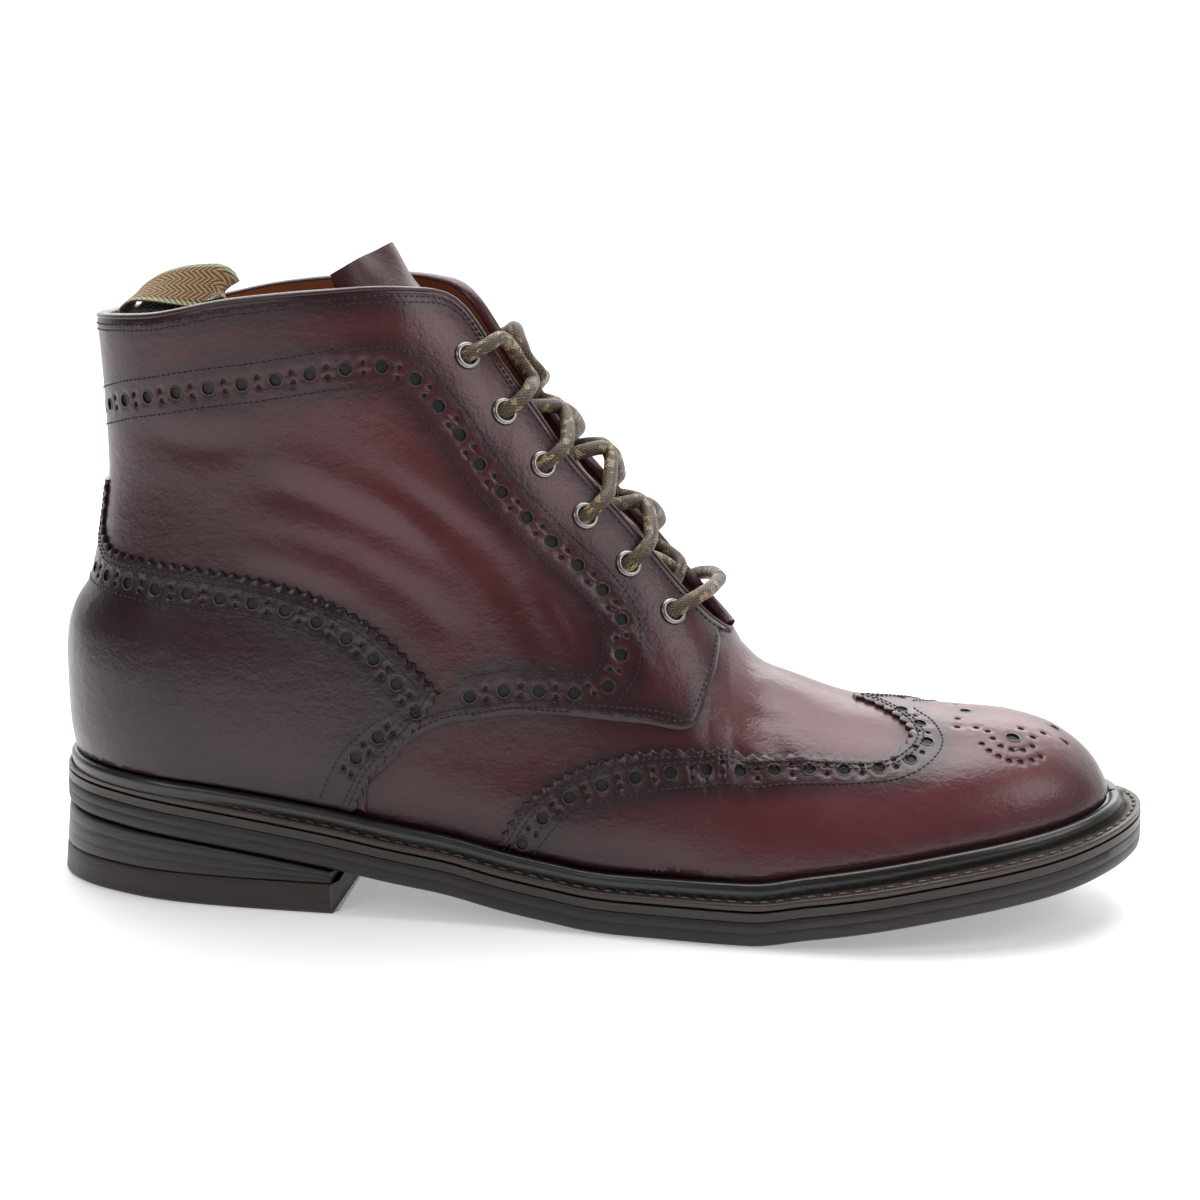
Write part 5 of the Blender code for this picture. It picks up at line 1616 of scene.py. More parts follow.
def foot_point(side, angle, height, grow):
    """Point of the upper's outline at a height over the feather, moved out by grow."""
    def place(a):
        t = (1 - np.cos(a)) / 2
        x = FOOT_START + (FOOT_END - FOOT_START) * t
        z = feather(x) + height
        x = x + (backline(z) - FOOT_START) * (1 - ease(t / 0.30))
        return x, surface(side, x, z)

    angle = np.asarray(angle, float)
    x, y = place(angle)
    x0, y0 = place(np.maximum(angle - 0.03, 0.0))
    x1, y1 = place(np.minimum(angle + 0.03, math.pi))
    long = np.hypot(x1 - x0, y1 - y0)
    out_x = x - side * (y1 - y0) / long * grow
    out_y = y + side * (x1 - x0) / long * grow
    heel, toe = angle < 1e-6, angle > math.pi - 1e-6
    out_x = np.where(heel, x - grow, np.where(toe, FOOT_END + grow, out_x))
    return out_x, np.where(heel | toe, 0.0, out_y)


def plate(name, rows, angles, shape, mats, nodes, sharp=50):
    """Loft across the boot; each row gives (inset, height function) from low to high."""
    sections = []
    for side in (-1, 1):
        half = []
        for inset, height in rows:
            x, y = shape(side, angles, inset)
            half.append(np.stack([x, y, height(x)], -1))
        sections.append(np.stack(half, 1) if side < 0 else np.stack(half[::-1], 1))
    grid = np.concatenate(sections, 1)
    count, wide = grid.shape[:2]
    faces = strip_faces(count, wide, closed_columns=True)
    if abs(grid[-1, 0, 1]) > 0.001:
        faces.append(tuple((count - 1) * wide + k for k in range(wide)))
    return make_piece(name, grid.reshape(-1, 3), faces, mats, nodes, merge=0.00001,
                      sharp=sharp)


def edge_rows(low, high, corner, inset=0.0, lines=()):
    """Rounded edge between two heights, with shallow grooves at some shares of it."""
    rows = [(inset + corner * 6, low), (inset + corner * 1.6, low),
            (inset + corner * 0.30, low + corner * 0.30), (inset, low + corner)]
    for share in lines:
        z = low + (high - low) * share
        rows += [(inset, z - 0.00022), (inset + 0.00020, z), (inset, z + 0.00022)]
    rows += [(inset, high - corner * 0.7), (inset + corner * 0.25, high - corner * 0.15),
             (inset + corner * 0.9, high)]
    return rows


def over_sole(rows):
    return [(inset, lambda x, z=z: underside(x) + z) for inset, z in rows]


tread = [(0.0030, 0.0), (0.0010, 0.0004), (0.0002, 0.0012), (0.0, 0.0022)]
tread += [(0.0, 0.0040), (0.00005, 0.0041), (0.0, 0.0042), (0.0, OUTSOLE - 0.0002),
          (0.0002, OUTSOLE)]
plate("outsole_slab", over_sole(tread), ANGLES, sole_point, [outsole_finish],
      ["outsole"])
plate("midsole_slab", over_sole([(0.0030, OUTSOLE + 0.0001), (0.0003, OUTSOLE + 0.0001),
                                 (0.0001, OUTSOLE + 0.0002),
                                 (0.0001, OUTSOLE + MIDSOLE - 0.0001),
                                 (0.0003, OUTSOLE + MIDSOLE), (0.003, OUTSOLE + MIDSOLE)]),
      ANGLES, sole_point, [midsole_finish], ["midsole"])

# %% Heel stack and top piece
heel_angles = np.linspace(0.0, math.acos(1 - 2 * HEEL_LENGTH / SOLE_LENGTH), 60)


def heel_shape(side, angles, inset):
    """Heel outline; inset carries the height share in its whole part."""
    step = np.floor(inset)
    share = step / 100
    x, y = sole_point(side, angles, 0.0003 + (inset - step) * 0.01)
    out = HEEL_FLARE * (1 - share)
    back = out * (1 - x / HEEL_LENGTH)
    return x - back, y + side * out * 0.35 * np.minimum(1, np.abs(y) / 0.01)


def heel_rows(low, high, lifts, corner_low, corner_high):
    """Rows for a block whose height share and inset are packed as share.inset."""
    rows = []

    def row(t, inset):
        z = low + (high - low) * t
        packed = round(100 * (z / HEEL_RISE)) + min(inset * 100, 0.99)
        if high < HEEL_RISE * 0.9:
            rows.append((packed, lambda x, z=z: np.full(len(x), z)))
        else:
            rows.append((packed, lambda x, t=t: low + (underside(x) - CLEAR - low) * t))

    for t, inset in ((0.0, 0.004), (0.0, corner_low), (0.06, corner_low * 0.3),
                     (0.14, 0.0)):
        row(t, inset)
    for t in lifts:
        row(t - 0.022, 0.0)
        row(t, 0.00006)
        row(t + 0.022, 0.0)
    for t, inset in ((0.92, 0.0), (0.985, corner_high * 0.5), (1.0, corner_high), (1.0, 0.004)):
        row(t, inset)
    return rows


plate("top_piece_block", heel_rows(0.0, TOP_PIECE, (), 0.0012, 0.0003), heel_angles, heel_shape,
      [top_piece_finish], ["top_piece"])
plate("heel_block", heel_rows(TOP_PIECE + CLEAR, HEEL_RISE, (0.34, 0.66), 0.0003, 0.0003),
      heel_angles, heel_shape, [heel_finish], ["heel"])

# %% Welt, bead and insole
def around(shape):
    """Both sides of an outline as one closed ring, from the heel over the lateral side."""
    first = shape(-1, ANGLES)
    second = shape(1, ANGLES[::-1][1:-1])
    return [np.concatenate(pair) for pair in zip(first, second)]


base_x, base_y = around(lambda side, a: foot_point(side, a, 0.0, 0.0))
crown_x, crown_y = around(lambda side, a: foot_point(side, a, BEAD_HEIGHT, 0.0))
run_x = np.roll(base_x, -1) - np.roll(base_x, 1)
run_y = np.roll(base_y, -1) - np.roll(base_y, 1)
long = np.hypot(run_x, run_y)
out_x, out_y = run_y / long, -run_x / long
edge_x, edge_y = around(lambda side, a: sole_point(side, a, 0.0002))
in_x, in_y = around(lambda side, a: sole_point(side, a, 0.0007))
gap = 1.5 * CLEAR
low, top = SOLE_STACK - WELT + CLEAR, SOLE_STACK


def ring_row(x, y, by, z):
    x, y = x + out_x * by, y + out_y * by
    return np.stack([x, y, underside(x) + z], -1)


columns = [ring_row(in_x, in_y, 0, low), ring_row(edge_x, edge_y, 0, low + 0.0004),
           ring_row(edge_x, edge_y, 0, top - 0.0005), ring_row(edge_x, edge_y, -0.00015,
                                                               top - 0.0001),
           ring_row(in_x, in_y, 0, top),
           ring_row(base_x, base_y, gap + BEAD_WIDTH + 0.0007, top),
           ring_row(base_x, base_y, gap + BEAD_WIDTH + 0.0003, top - 0.0005),
           ring_row(base_x, base_y, gap + BEAD_WIDTH, top + 0.0001)]
flat_columns = len(columns)
bead = [(1.0, 0.22), (1.0, 0.48), (0.97, 0.66), (0.88, 0.83), (0.74, 0.95), (0.58, 1.0),
        (0.40, 0.985), (0.26, 0.90), (0.18, 0.80), (0.10, 0.86), (0.02, 0.90), (0.0, 0.84)]
for wide_share, high_share in bead:
    mix = min(high_share, 1.0)
    x = base_x + (crown_x - base_x) * mix
    y = base_y + (crown_y - base_y) * mix
    columns.append(ring_row(x, y, gap + BEAD_WIDTH * wide_share, top + BEAD_HEIGHT * high_share))
columns.append(ring_row(base_x, base_y, gap, top))
columns.append(ring_row(base_x, base_y, -WELT_FLANGE, top))
columns.append(ring_row(base_x, base_y, -WELT_FLANGE, low))
grid = np.stack(columns, 1)
faces = strip_faces(grid.shape[0], grid.shape[1], closed_rows=True, closed_columns=True)
index = [1 if flat_columns - 2 <= k < flat_columns + len(bead) else 0
         for i in range(grid.shape[0]) for k in range(grid.shape[1])]
make_piece("storm_welt", grid.reshape(-1, 3), faces, [welt_finish, bead_finish],
           ["welt"], index, merge=0.000001, sharp=55)


def insole_shape(side, angles, inset):
    return foot_point(side, angles, 0.0, -inset)


narrow, wide = WELT_FLANGE + 4 * CLEAR, WALL + 4 * CLEAR
step = SOLE_STACK + 1.5 * CLEAR
high = SOLE_STACK + CLEAR + INSOLE
plate("insole_board", over_sole([(narrow + 0.002, low), (narrow, low), (narrow, step),
                                 (wide, step), (wide, high - 0.0006),
                                 (wide + 0.0006, high), (wide + 0.004, high)]),
      ANGLES, insole_shape, [insole_leather], ["insole"])

# the seam of the welt: one stitch after another, round the whole boot
seam_x, seam_y = around(lambda side, a: sole_point(side, a, 0.0021))
seam = np.stack([seam_x, seam_y, underside(seam_x) + top + 0.00012], -1)
seam = np.concatenate([seam, seam[:1]])
run = np.concatenate([[0], np.cumsum(np.linalg.norm(np.diff(seam, axis=0), axis=1))])
count = int(round(run[-1] / 0.0042))
even_run = np.arange(count) * run[-1] / count
seam_points = np.stack([np.interp(even_run, run, seam[:, k]) for k in range(3)], -1)
seam_along = np.roll(seam_points, -1, 0) - np.roll(seam_points, 1, 0)
seam_along /= np.linalg.norm(seam_along, axis=1)[:, None]
seam_up = np.repeat(np.array([[0.0, 0.0, 1.0]]), count, 0)
seam_up -= seam_along * seam_along[:, 2:3]
grown("welt_stitches", stitch_tree("welt_seam", welt_thread, 0.0036, 0.00115, 0.00085),
      seam_points, seam_along, seam_up)

# %% [markdown]
# ## Eyelets, laces, tongue and loop
# The lace is one cord: a bar over the lowest pair, then each end comes up out of an eyelet,
# crosses the edge of its facing and dives under the other one. It is drawn from eyelet to
# eyelet on the instep's own surface, so that it bends where the leather does.
# %% Eyelets
def facing_edge(count):
    """Places along the facing edge at even steps, from the top eyelet to the lowest."""
    places = np.linspace(0.401, 0.583, 60) * SOLE_LENGTH
    heights = top_line(places)
    steps = np.hypot(np.diff(places), np.diff(heights))
    run = np.concatenate([[0.0], np.cumsum(steps)])
    return [float(np.interp(run[-1] * i / (count - 1), run, places)) for i in range(count)]


def face_normal(side, x, z):
    d = 0.0004
    dx = (surface(side, x + d, z) - surface(side, x - d, z)) / (2 * d)
    dz = (surface(side, x, z + d) - surface(side, x, z - d)) / (2 * d)
    n = np.array([float(-dx), 1.0, float(-dz)]) * side
    return n / np.linalg.norm(n)


def eyelet_spot(side, x, back=EYELET_BACK):
    """Middle of an eyelet on the upper's face and the face's normal there."""
    z = float(top_line(x))
    slope = (float(top_line(x + 0.001)) - float(top_line(x - 0.001))) / 0.002
    across = np.array([slope, 0.0, -1.0])
    across /= np.linalg.norm(across)
    if across[0] > 0:
        across = -across
    spot = np.array([x, float(surface(side, x, z)), z])
    gone = 0.0
    while gone < back:
        px, pz = spot[0] + across[0] * 0.0002, spot[2] + across[2] * 0.0002
        new = np.array([px, float(surface(side, px, pz)), pz])
        gone += np.linalg.norm(new - spot)
        spot = new
    return spot, face_normal(side, spot[0], spot[2])


spots, eyelet_names = {}, []
for side, word in ((-1, "lateral"), (1, "medial")):
    for k, x in enumerate(facing_edge(EYELETS)):
        spots[(side, k)] = (*eyelet_spot(side, x), eyelet_spot(side, x, 0.0)[0])
        eyelet_names.append("eyelet_%s_%d" % (word, k + 1))
keys = [(side, k) for side in (-1, 1) for k in range(EYELETS)]
eyelet_points = []
for key in keys:
    spot, n, edge = spots[key]
    h = crease_height(spot[None])[0]
    eyelet_points.append(spot + n * (h + FACE + 0.00030))
grown("eyelets", ring_tree("eyelet", nickel, 0.00295, 0.00085, 0.80, 36, 12, 0.0030),
      eyelet_points, [(1.0, 0.0, 0.0)] * 12, [spots[key][1] for key in keys],
      [(1.0, 1.0, 1.0)] * 12, eyelet_names)
DARK_LINES.append(np.array(eyelet_points))

# %% Laces
def over_instep(place, wide):
    """Point of the upper's face, run on over the throat, at a signed half width."""
    x0 = place * SOLE_LENGTH
    z0 = float(ridge(x0))
    slope = (float(ridge(x0 + 0.002)) - float(ridge(x0 - 0.002))) / 0.004
    inward = np.array([slope, 0.0, -1.0])
    inward /= np.linalg.norm(inward)
    side = -1 if wide < 0 else 1
    low, high = 0.0, 0.06
    while high - low > 0.00002:
        deep = (low + high) / 2
        if float(half_width(side, x0 + inward[0] * deep, z0 + inward[2] * deep)) < abs(wide):
            low = deep
        else:
            high = deep
    deep = low if abs(wide) > 0 else 0.0
    return np.array([x0 + inward[0] * deep, wide + float(centre(x0)), z0 + inward[2] * deep])


def lifted(place, wide, lift):
    """The same point, raised along the face's normal."""
    along = over_instep(place + 0.004, wide) - over_instep(place - 0.004, wide)
    across = over_instep(place, wide + 0.0015) - over_instep(place, wide - 0.0015)
    n = np.cross(along, across)
    return over_instep(place, wide) + n / np.linalg.norm(n) * lift


def instep_place(spot):
    """Place on the ridge that a point belongs to, and its signed half width."""
    def gap_at(place):
        wide = spot[1] - float(centre(place * SOLE_LENGTH))
        return float(np.linalg.norm(over_instep(place, wide) - spot)), place, wide

    best = min(gap_at(0.36 + 0.30 * i / 40) for i in range(41))
    best = min(gap_at(best[1] - 0.0075 + 0.015 * i / 20) for i in range(21))
    return best[1], best[2]


eyes = {key: instep_place(spots[key][0]) for key in keys}
edges = {key: instep_place(spots[key][2]) for key in keys}
IN_LACE, UP_LACE = -0.0052, FACE + LACE / 2 + 0.0011


def rise(side, k):
    """Out of an eyelet and over the edge of its own facing."""
    (p0, w0), (p1, w1) = eyes[(side, k)], edges[(side, k)]
    return [(p0, w0, -0.0062), (p0, w0, -0.0018), (p0, w0 * 0.995, UP_LACE * 0.62),
            (p0 + (p1 - p0) * 0.35, w0 + (w1 - w0) * 0.40, UP_LACE + 0.0002),
            (p1 - 0.002, w1, UP_LACE - 0.0004)]


def dive(side, k, lift=0.0):
    """Under the edge of the other facing, to just below the next eyelet."""
    (p0, w0), (p1, w1) = eyes[(side, k)], edges[(side, k)]
    return [(p1 + 0.004, w1 * 0.93, -0.0030 + lift), (p0 + (p1 - p0) * 0.5 + 0.003,
            (w0 + w1) / 2, -0.0048), (p0 + 0.003, w0 * 0.98, -0.0064)]


def lace_path(start):
    """Rows of (place, half width, lift) from the middle of the bar to the top eyelet."""
    p5, w5 = eyes[(start, EYELETS - 1)]
    rows = [(p5 + 0.004, 0.0, UP_LACE + 0.0006), (p5 + 0.003, w5 * 0.45, UP_LACE + 0.0004),
            (p5 + 0.001, w5 * 0.82, UP_LACE + 0.0001), (p5, w5, UP_LACE * 0.55),
            (p5, w5, -0.0018), (p5 - 0.004, w5 * 0.9, -0.0062)]
    side = -start
    first = edges[(start, EYELETS - 1)]
    rows.append((first[0] - 0.012, 0.0, -0.0035 - 0.0012 * start))
    rows += dive(side, EYELETS - 2, -0.0010)
    for k in range(EYELETS - 2, 1, -1):
        rows += rise(side, k)
        a, b = edges[(side, k)], edges[(-side, k - 1)]
        over = 0.0022 if side == start else -0.0018
        for t in (0.33, 0.62):
            rows.append((a[0] + (b[0] - a[0]) * t, a[1] + (b[1] - a[1]) * t,
                         UP_LACE * (1 - t) + over * t * 1.2 - 0.0004))
        side = -side
        rows += dive(side, k - 1)
    rows += rise(side, 1)
    (p1, w1), (p0, w0) = edges[(side, 1)], edges[(side, 0)]
    e0 = eyes[(side, 0)]
    rows += [(p1 - 0.004, w1 * 0.62, 0.0016), (p1 - 0.017, w1 * 0.50, 0.0010),
             (p0 + 0.010, w0 * 0.60, 0.0022), (p0 + 0.001, w0 * 0.98, UP_LACE + 0.0004),
             (e0[0] + 0.001, (e0[1] + w0) / 2, UP_LACE + 0.0004), (e0[0], e0[1], UP_LACE * 0.55),
             (e0[0], e0[1], -0.0020), (e0[0] - 0.001, e0[1] * 1.0, -0.0066)]
    return np.array([lifted(*row) for row in rows])


def soft_path(points, step):
    """Even steps along a soft curve through some points."""
    run = np.concatenate([[0], np.cumsum(np.linalg.norm(np.diff(points, axis=0), axis=1))])
    fine = np.linspace(0, run[-1], int(run[-1] / 0.0003))
    line = np.stack([smooth(list(zip(run, points[:, k])))(fine) for k in range(3)], -1)
    run = np.concatenate([[0], np.cumsum(np.linalg.norm(np.diff(line, axis=0), axis=1))])
    even_run = np.linspace(0, run[-1], int(run[-1] / step) + 1)
    return np.stack([np.interp(even_run, run, line[:, k]) for k in range(3)], -1), even_run


def cord(path, radius, corners=14, flat=1.0):
    """Tube along a path, with rounded ends, and its UV in millimetres."""
    line, run = soft_path(path, 0.0007)
    tangent = np.gradient(line, axis=0)
    tangent /= np.linalg.norm(tangent, axis=1)[:, None]
    side = np.zeros_like(line)
    now = np.cross(tangent[0], (0.0, 0.0, 1.0))
    for i, t in enumerate(tangent):
        now = now - t * now.dot(t)
        now = now / np.linalg.norm(now)
        side[i] = now
    up = np.cross(side, tangent)
    turn = np.arange(corners) * 2 * math.pi / corners
    size = np.full(len(line), radius)
    size[0] = size[-1] = radius * 0.55
    ring = (side[:, None] * np.cos(turn)[None, :, None]
            + up[:, None] * np.sin(turn)[None, :, None] * flat) * size[:, None, None]
    grid = line[:, None] + ring
    uv = np.stack(np.broadcast_arrays(run[:, None] * 1000, turn[None] * radius * 1000), -1)
    faces = strip_faces(len(line), corners, closed_columns=True)
    faces.append(tuple(range(corners)))
    faces.append(tuple((len(line) - 1) * corners + k for k in range(corners))[::-1])
    return grid.reshape(-1, 3), faces, uv.reshape(-1, 2)


points, faces, uvs = [], [], []
total = 0
for start in (-1, 1):
    p, f, uv = cord(lace_path(start), LACE / 2 * 1.06)
    points.append(p)
    uvs.append(uv)
    faces += [tuple(i + total for i in face) for face in f]
    total += len(p)
LACE_PIECE = make_piece("lace_cord", np.concatenate(points), faces, [lace_braid],
                        ["laces"], uv=np.concatenate(uvs), sharp=60)

# %% Tongue
def build_tongue():
    """The tongue follows the inside of the instep; its two folded tips rise over the collar."""
    places = np.linspace(0.655, 0.358, 62)
    shares = np.linspace(-1, 1, 27)
    points = np.zeros((len(places), len(shares), 3))
    for i, place in enumerate(places):
        x0 = place * SOLE_LENGTH
        z0 = float(ridge(x0))
        slope = (float(ridge(x0 + 0.002)) - float(ridge(x0 - 0.002))) / 0.004
        inward = np.array([slope, 0.0, -1.0])
        inward /= np.linalg.norm(inward)
        deep = np.linspace(0, 0.05, 200)
        lean = TONGUE_LEAN * float(ease((0.44 - place) / 0.074))
        for side in (-1, 1):
            w = half_width(side, x0 + inward[0] * deep, z0 + inward[2] * deep)
            for k, share in enumerate(shares):
                if (share < 0) == (side < 0):
                    d = float(np.interp(abs(share) * TONGUE_HALF, w, deep))
                    points[i, k] = (x0 + inward[0] * d - lean,
                                    share * TONGUE_HALF + float(centre(x0)), z0 + inward[2] * d)
    along = np.gradient(points, axis=0)
    across = np.gradient(points, axis=1)
    n = np.cross(across, along)
    n /= np.linalg.norm(n, axis=2)[:, :, None]
    if n[20, 13, 2] < 0:
        n = -n
    tip = ease((0.384 - places) / 0.030)[:, None]
    wave = np.cos(shares * 2.3 * math.pi)[None] * 0.0016 * tip
    sink = 0.0016 * (1 - ease((0.40 - places) / 0.02))[:, None]
    outer = -(WALL + 5 * CLEAR) - sink + wave - 0.0026 * np.abs(shares)[None] ** 3
    top = points + n * outer[:, :, None]
    drop = 1 - np.exp(-((np.abs(shares + 0.08) - 0.45) / 0.20) ** 2)
    move = along / np.linalg.norm(along, axis=2)[:, :, None]
    fall = (0.0050 * tip ** 2 * drop[None])[:, :, None]
    points = points - move * fall
    grain_wave = 0.00025 * np.sin(places * 210)[:, None, None]
    top = top + n * grain_wave
    low = points + n * (outer - TONGUE)[:, :, None]
    rows, columns = len(places), len(shares)
    size = rows * columns
    faces = strip_faces(rows, columns)
    other = [tuple(i + size for i in f[::-1]) for f in faces]
    rim = [k for k in range(columns)] + [i * columns + columns - 1 for i in range(1, rows)]
    rim += [(rows - 1) * columns + k for k in range(columns - 2, -1, -1)]
    rim += [i * columns for i in range(rows - 2, 0, -1)]
    walls = [(rim[i], rim[(i + 1) % len(rim)], rim[(i + 1) % len(rim)] + size, rim[i] + size)
             for i in range(len(rim))]
    thing = make_piece("tongue_leather_piece", np.concatenate([top.reshape(-1, 3),
                                                              low.reshape(-1, 3)]),
                       faces + other + walls, [tongue_leather], ["tongue"],
                       merge=0.000001, sharp=50)
    return thing


build_tongue()

# %% Pull loop
def build_loop():
    """Woven webbing: one ribbon, folded on itself, in millimetres for its herringbone."""
    back = float(backline(FEATHER_BACK + SHAFT_RISE))
    top = FEATHER_BACK + SHAFT_RISE
    rows = [
        (0.0071, -0.0140, 0.0), (0.0071, -0.0050, 0.0), (0.0096, 0.0018, 0.25),
        (0.0160, 0.0036, 0.60), (0.0240, 0.0042, 0.82), (0.0305, 0.0048, 0.92),
        (0.0328, 0.0064, 0.92), (0.0305, 0.0082, 0.92), (0.0240, 0.0082, 0.82),
        (0.0172, 0.0078, 0.60), (0.0096, 0.0058, 0.25), (0.0054, 0.0008, 0.0),
        (0.0049, -0.0060, 0.0), (0.0049, -0.0140, 0.0),
    ]
    path = np.array([(back + dx + 2 * CLEAR, 0.0, top + dz, turn) for dx, dz, turn in rows])
    run = np.concatenate([[0], np.cumsum(np.linalg.norm(np.diff(path[:, :3], axis=0), axis=1))])
    fine = np.linspace(0, run[-1], 110)
    line = np.stack([smooth(list(zip(run, path[:, k])))(fine) for k in range(4)], -1)
    tangent = np.gradient(line[:, :3], axis=0)
    tangent /= np.linalg.norm(tangent, axis=1)[:, None]
    wide = np.stack([np.zeros(len(line)), np.cos(line[:, 3]), np.sin(line[:, 3])], -1)
    wide -= tangent * (wide * tangent).sum(1)[:, None]
    wide /= np.linalg.norm(wide, axis=1)[:, None]
    thick = np.cross(tangent, wide)
    spread = np.linspace(-1, 1, 15)
    grids, uv, inside = [], [], []
    for sign in (1, -1):
        edge = np.sqrt(1 - np.abs(spread) ** 8 * 0.75)
        grid = (line[:, None, :3] + wide[:, None] * (spread * LOOP_WIDTH / 2)[None, :, None]
                + thick[:, None] * (sign * edge * LOOP_THICKNESS / 2)[None, :, None])
        grids.append(grid.reshape(-1, 3))
        uv.append(np.stack(np.broadcast_arrays(fine[:, None] * 1000,
                                               spread[None] * LOOP_WIDTH * 500), -1))
        inside += [float(sign > 0)] * (grid.shape[0] * grid.shape[1])
    rows_, columns = len(line), len(spread)
    size = rows_ * columns
    faces = strip_faces(rows_, columns)
    other = [tuple(i + size for i in f[::-1]) for f in faces]
    rim = list(range(columns)) + [i * columns + columns - 1 for i in range(1, rows_)]
    rim += [(rows_ - 1) * columns + k for k in range(columns - 2, -1, -1)]
    rim += [i * columns for i in range(rows_ - 2, 0, -1)]
    walls = [(rim[i], rim[(i + 1) % len(rim)], rim[(i + 1) % len(rim)] + size, rim[i] + size)
             for i in range(len(rim))]
    points = np.concatenate(grids)
    uv = np.concatenate([u.reshape(-1, 2) for u in uv])
    return make_piece("webbing_loop", points, faces + other + walls, [loop_webbing],
                      ["pull_loop"], uv=uv, values={"inside": inside}, sharp=60)


build_loop()

# %% Rolled edge of the collar
def rolled_edge():
    """Thin roll of leather where the quarter turns over the lining."""
    u = np.concatenate([np.linspace(0, 1, 70), np.linspace(1, 2, 90)[1:-3]])
    rings = []
    for side, kind in ((-1, "lateral"), (1, "medial")):
        q = np.stack([u, np.ones(len(u))], -1)
        p = on_map(kind, q)
        n = normals_at(kind, q)
        n[0, 1] = 0
        n[0] /= np.linalg.norm(n[0])
        mid = p + n * (crease_height(p) - WALL / 2 + FACE / 2)[:, None]
        rings.append((mid, n))
    mid = np.concatenate([rings[0][0][::-1], rings[1][0][1:]])
    n = np.concatenate([rings[0][1][::-1], rings[1][1][1:]])
    run = np.gradient(mid, axis=0)
    run /= np.linalg.norm(run, axis=1)[:, None]
    up = np.cross(run, n)
    up /= np.linalg.norm(up, axis=1)[:, None]
    up = np.where((up[:, 2] < 0)[:, None], -up, up)
    corners = 12
    turn = np.arange(corners) * 2 * math.pi / corners
    half = (WALL + FACE) / 2 + 0.0001
    ring = (n[:, None] * np.cos(turn)[None, :, None] * half
            + up[:, None] * np.sin(turn)[None, :, None] * 0.0009)
    grid = mid[:, None] + ring + up[:, None] * 0.0001
    faces = strip_faces(len(mid), corners, closed_columns=True)
    faces.append(tuple(range(corners))[::-1])
    faces.append(tuple((len(mid) - 1) * corners + k for k in range(corners)))
    thing = make_piece("collar_roll", grid.reshape(-1, 3), faces, [leather],
                       merge=0.000001, sharp=60)
    LEATHER_PIECES.append(thing)


rolled_edge()

# %% [markdown]
# ## Polish, painted shade and painted highlight
# Polish gathers along seams, round holes and eyelets, and the toe tip is darker; painted shade darkens
# the back of the heel and the leather just above the welt, and a painted highlight makes the vamp, the
# toe and the upper quarter paler.
# A distance to the nearest of those lines, kept on each vertex, is enough to mix the colours;
# a painted picture would be the other way, and would not follow a change of size.
# %% Paint attributes
from mathutils.kdtree import KDTree

dark_points = np.concatenate(DARK_LINES)
tree = KDTree(len(dark_points))
for i, p in enumerate(dark_points):
    tree.insert(p, i)
tree.balance()
for thing in LEATHER_PIECES:
    count = len(thing.data.vertices)
    co = np.empty(count * 3)
    thing.data.vertices.foreach_get("co", co)
    co = co.reshape(-1, 3) - (SHIFT, 0, 0)
    away = np.array([tree.find(p)[2] for p in co])
    x, z = co[:, 0], co[:, 2]
    over = z - feather(x)
    # darkening attribute: polish along seams, round holes and eyelets
    polish_and_shade = 0.85 * np.exp(-(away / 0.0042) ** 2)
    # painted shade in the corner just above the welt
    polish_and_shade = np.maximum(polish_and_shade, 0.55 * np.exp(-((over - BEAD_TOP) / 0.007)))
    # the toe tip is darker
    polish_and_shade = np.maximum(polish_and_shade, 0.45 * ease((x - 0.272) / 0.02))
    # painted shade on the back of the heel, which turns away from the light
    back = ease((0.075 - x) / 0.05)
    polish_and_shade = np.maximum(polish_and_shade, 0.45 * back)
    t = x / SOLE_LENGTH
    # painted highlight over the vamp and toe, and over the upper quarter
    painted_highlight = 0.85 * ease((t - 0.50) / 0.25) * (1 - 0.8 * ease((t - 0.88) / 0.09))
    painted_highlight = np.maximum(painted_highlight, 0.45 * ease((t - 0.20) / 0.12) * ease((0.56 - t) / 0.1)
                      * ease((z - 0.075) / 0.03))
    for key, data in (("polish_and_shade", polish_and_shade), ("painted_highlight", painted_highlight)):
        layer = thing.data.attributes.new(key, "FLOAT", "POINT")
        layer.data.foreach_set("value", np.clip(data, 0, 1).astype(np.float32))
print("painted:", len(LEATHER_PIECES))

# %% [markdown]
# ## Camera, light and floor
# The camera was measured against the outline of the boot. Soft light comes from large panels:
# one overhead, one in front and one behind the toe, as in a small product studio.
# %% Camera
cam_data = bpy.data.cameras.new("Camera")
camera = bpy.data.objects.new("Camera", cam_data)
bpy.context.scene.collection.objects.link(camera)
yaw, elevation, roll = (math.radians(v) for v in (5.2296, 11.1563, 0.7242))
distance, focal = 0.7179263, 2570.5732
shift_x, shift_y = -0.0028878, 0.0063642
backward = Vector((math.sin(yaw) * math.cos(elevation), -math.cos(yaw) * math.cos(elevation),
                   math.sin(elevation)))
flat_right = Vector((math.cos(yaw), math.sin(yaw), 0.0))
flat_up = backward.cross(flat_right)
right = flat_right * math.cos(roll) + flat_up * math.sin(roll)
up = -flat_right * math.sin(roll) + flat_up * math.cos(roll)
target = Vector((0.152012 + SHIFT, 0.000963, 0.081244))
eye = target + backward * distance
turn = Matrix((right, up, backward)).transposed().to_4x4()
camera.matrix_world = Matrix.Translation(eye) @ turn
cam_data.sensor_width = 36.0
cam_data.lens = focal * 36.0 / 1200
cam_data.clip_start = 0.01
cam_data.dof.use_dof = False
bpy.context.scene.camera = camera

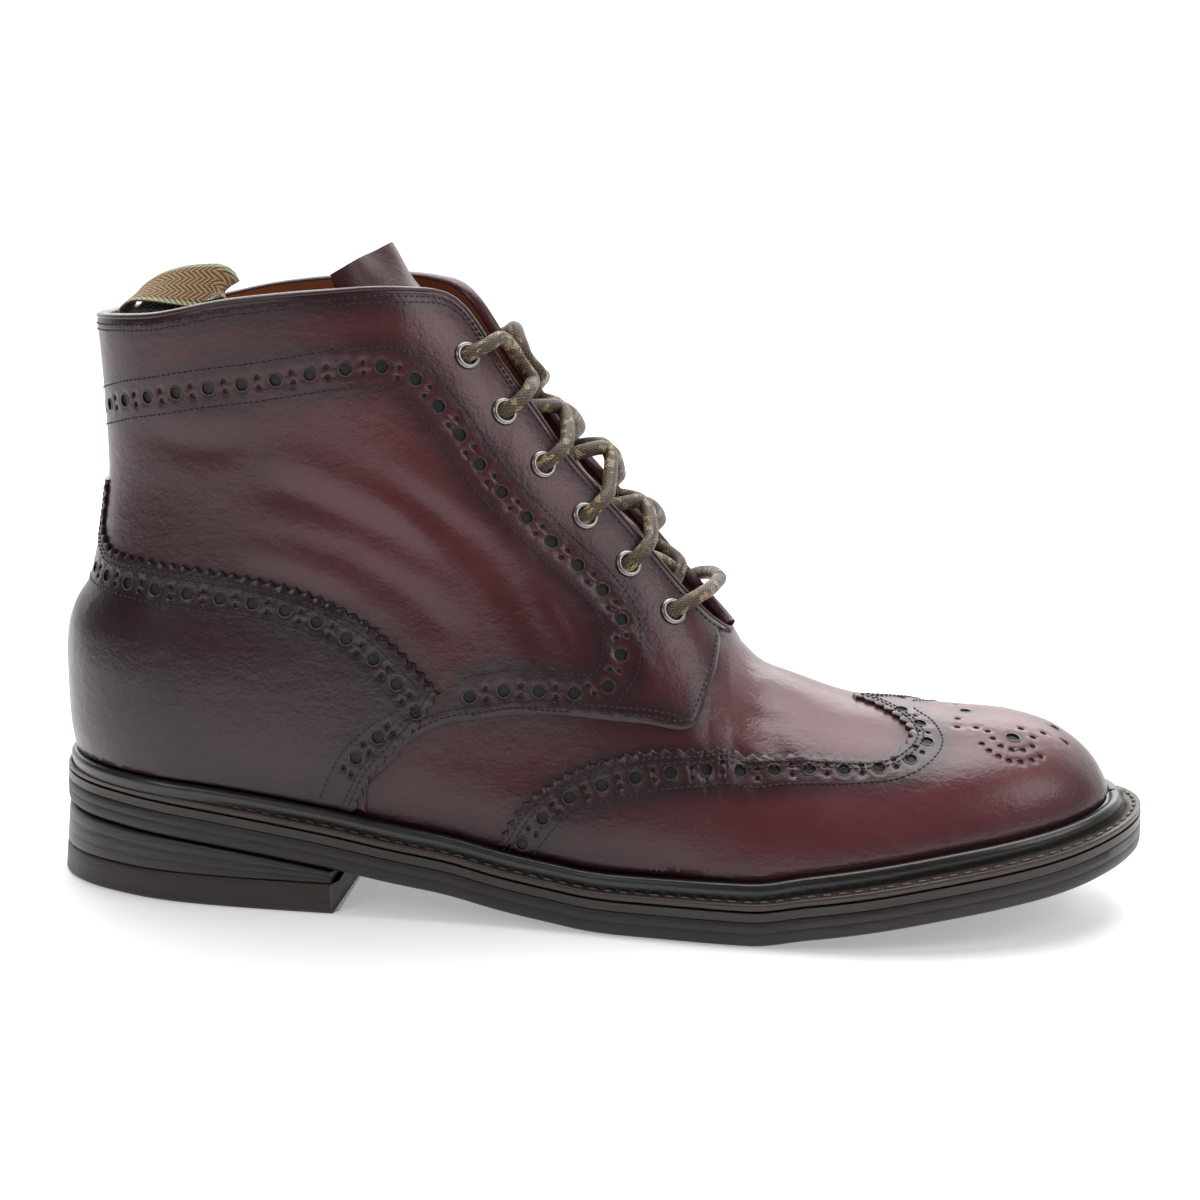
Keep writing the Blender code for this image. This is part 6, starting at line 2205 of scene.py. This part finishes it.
# %% Floor and lights
def add_light(name, place, size, power, aim=(0.11, 0.0, 0.07), colour=(1, 1, 1)):
    data = bpy.data.lights.new(name, "AREA")
    data.shape = "RECTANGLE"
    data.size, data.size_y = size
    data.energy = power
    data.color = colour
    light = bpy.data.objects.new(name, data)
    light.location = place
    way = Vector(aim) - Vector(place)
    light.rotation_euler = way.to_track_quat("-Z", "Y").to_euler()
    bpy.context.scene.collection.objects.link(light)


floor_mat, floor_tree, floor_shader = start_material("studio_floor")
floor_shader.inputs["Base Color"].default_value = (0.86, 0.86, 0.86, 1)
floor_shader.inputs["Roughness"].default_value = 0.6
floor_shader.inputs["Emission Color"].default_value = (1, 1, 1, 1)
rise_z = add_node(floor_tree, "ShaderNodeSeparateXYZ", {0: object_place(floor_tree)}).outputs[2]
floor_tree.links.new(remap(floor_tree, rise_z, 0.0, 0.6, 0.35, 1.0),
                     floor_shader.inputs["Emission Strength"])
sweep = [(-4.0, 0.0), (1.0, 0.0)]
sweep += [(1.0 + math.sin(a) * 1.2, 1.2 - math.cos(a) * 1.2)
          for a in np.linspace(0, math.pi / 2, 25)[1:]] + [(2.2, 5.0)]
floor_points = np.array([(x, y, z) for y, z in sweep for x in (-5.0, 5.0)])
floor_mesh = bpy.data.meshes.new("studio_floor")
floor_mesh.from_pydata([tuple(p) for p in floor_points], [],
                       [(2 * i, 2 * i + 1, 2 * i + 3, 2 * i + 2) for i in range(len(sweep) - 1)])
floor_mesh.materials.append(floor_mat)
floor_mesh.shade_smooth()
floor = bpy.data.objects.new("studio_floor", floor_mesh)
bpy.context.scene.collection.objects.link(floor)

add_light("overhead", (0.12, 0.30, 1.20), (1.3, 0.8), 15.0)
add_light("front_left", (-0.60, -1.00, 0.90), (0.5, 0.5), 3.0)
add_light("toe_side", (0.95, -0.30, 0.60), (0.5, 0.5), 2.6)
add_light("behind", (0.05, 1.00, 0.60), (1.6, 0.5), 6.0, (0.1, 0.6, 0.0))
world = bpy.data.worlds.new("World")
world.use_nodes = True
sky = world.node_tree.nodes["Background"]
sky.inputs["Color"].default_value = (1, 1, 1, 1)
sky.inputs["Strength"].default_value = 0.12
bpy.context.scene.world = world
bpy.context.scene.view_settings.view_transform = "Standard"
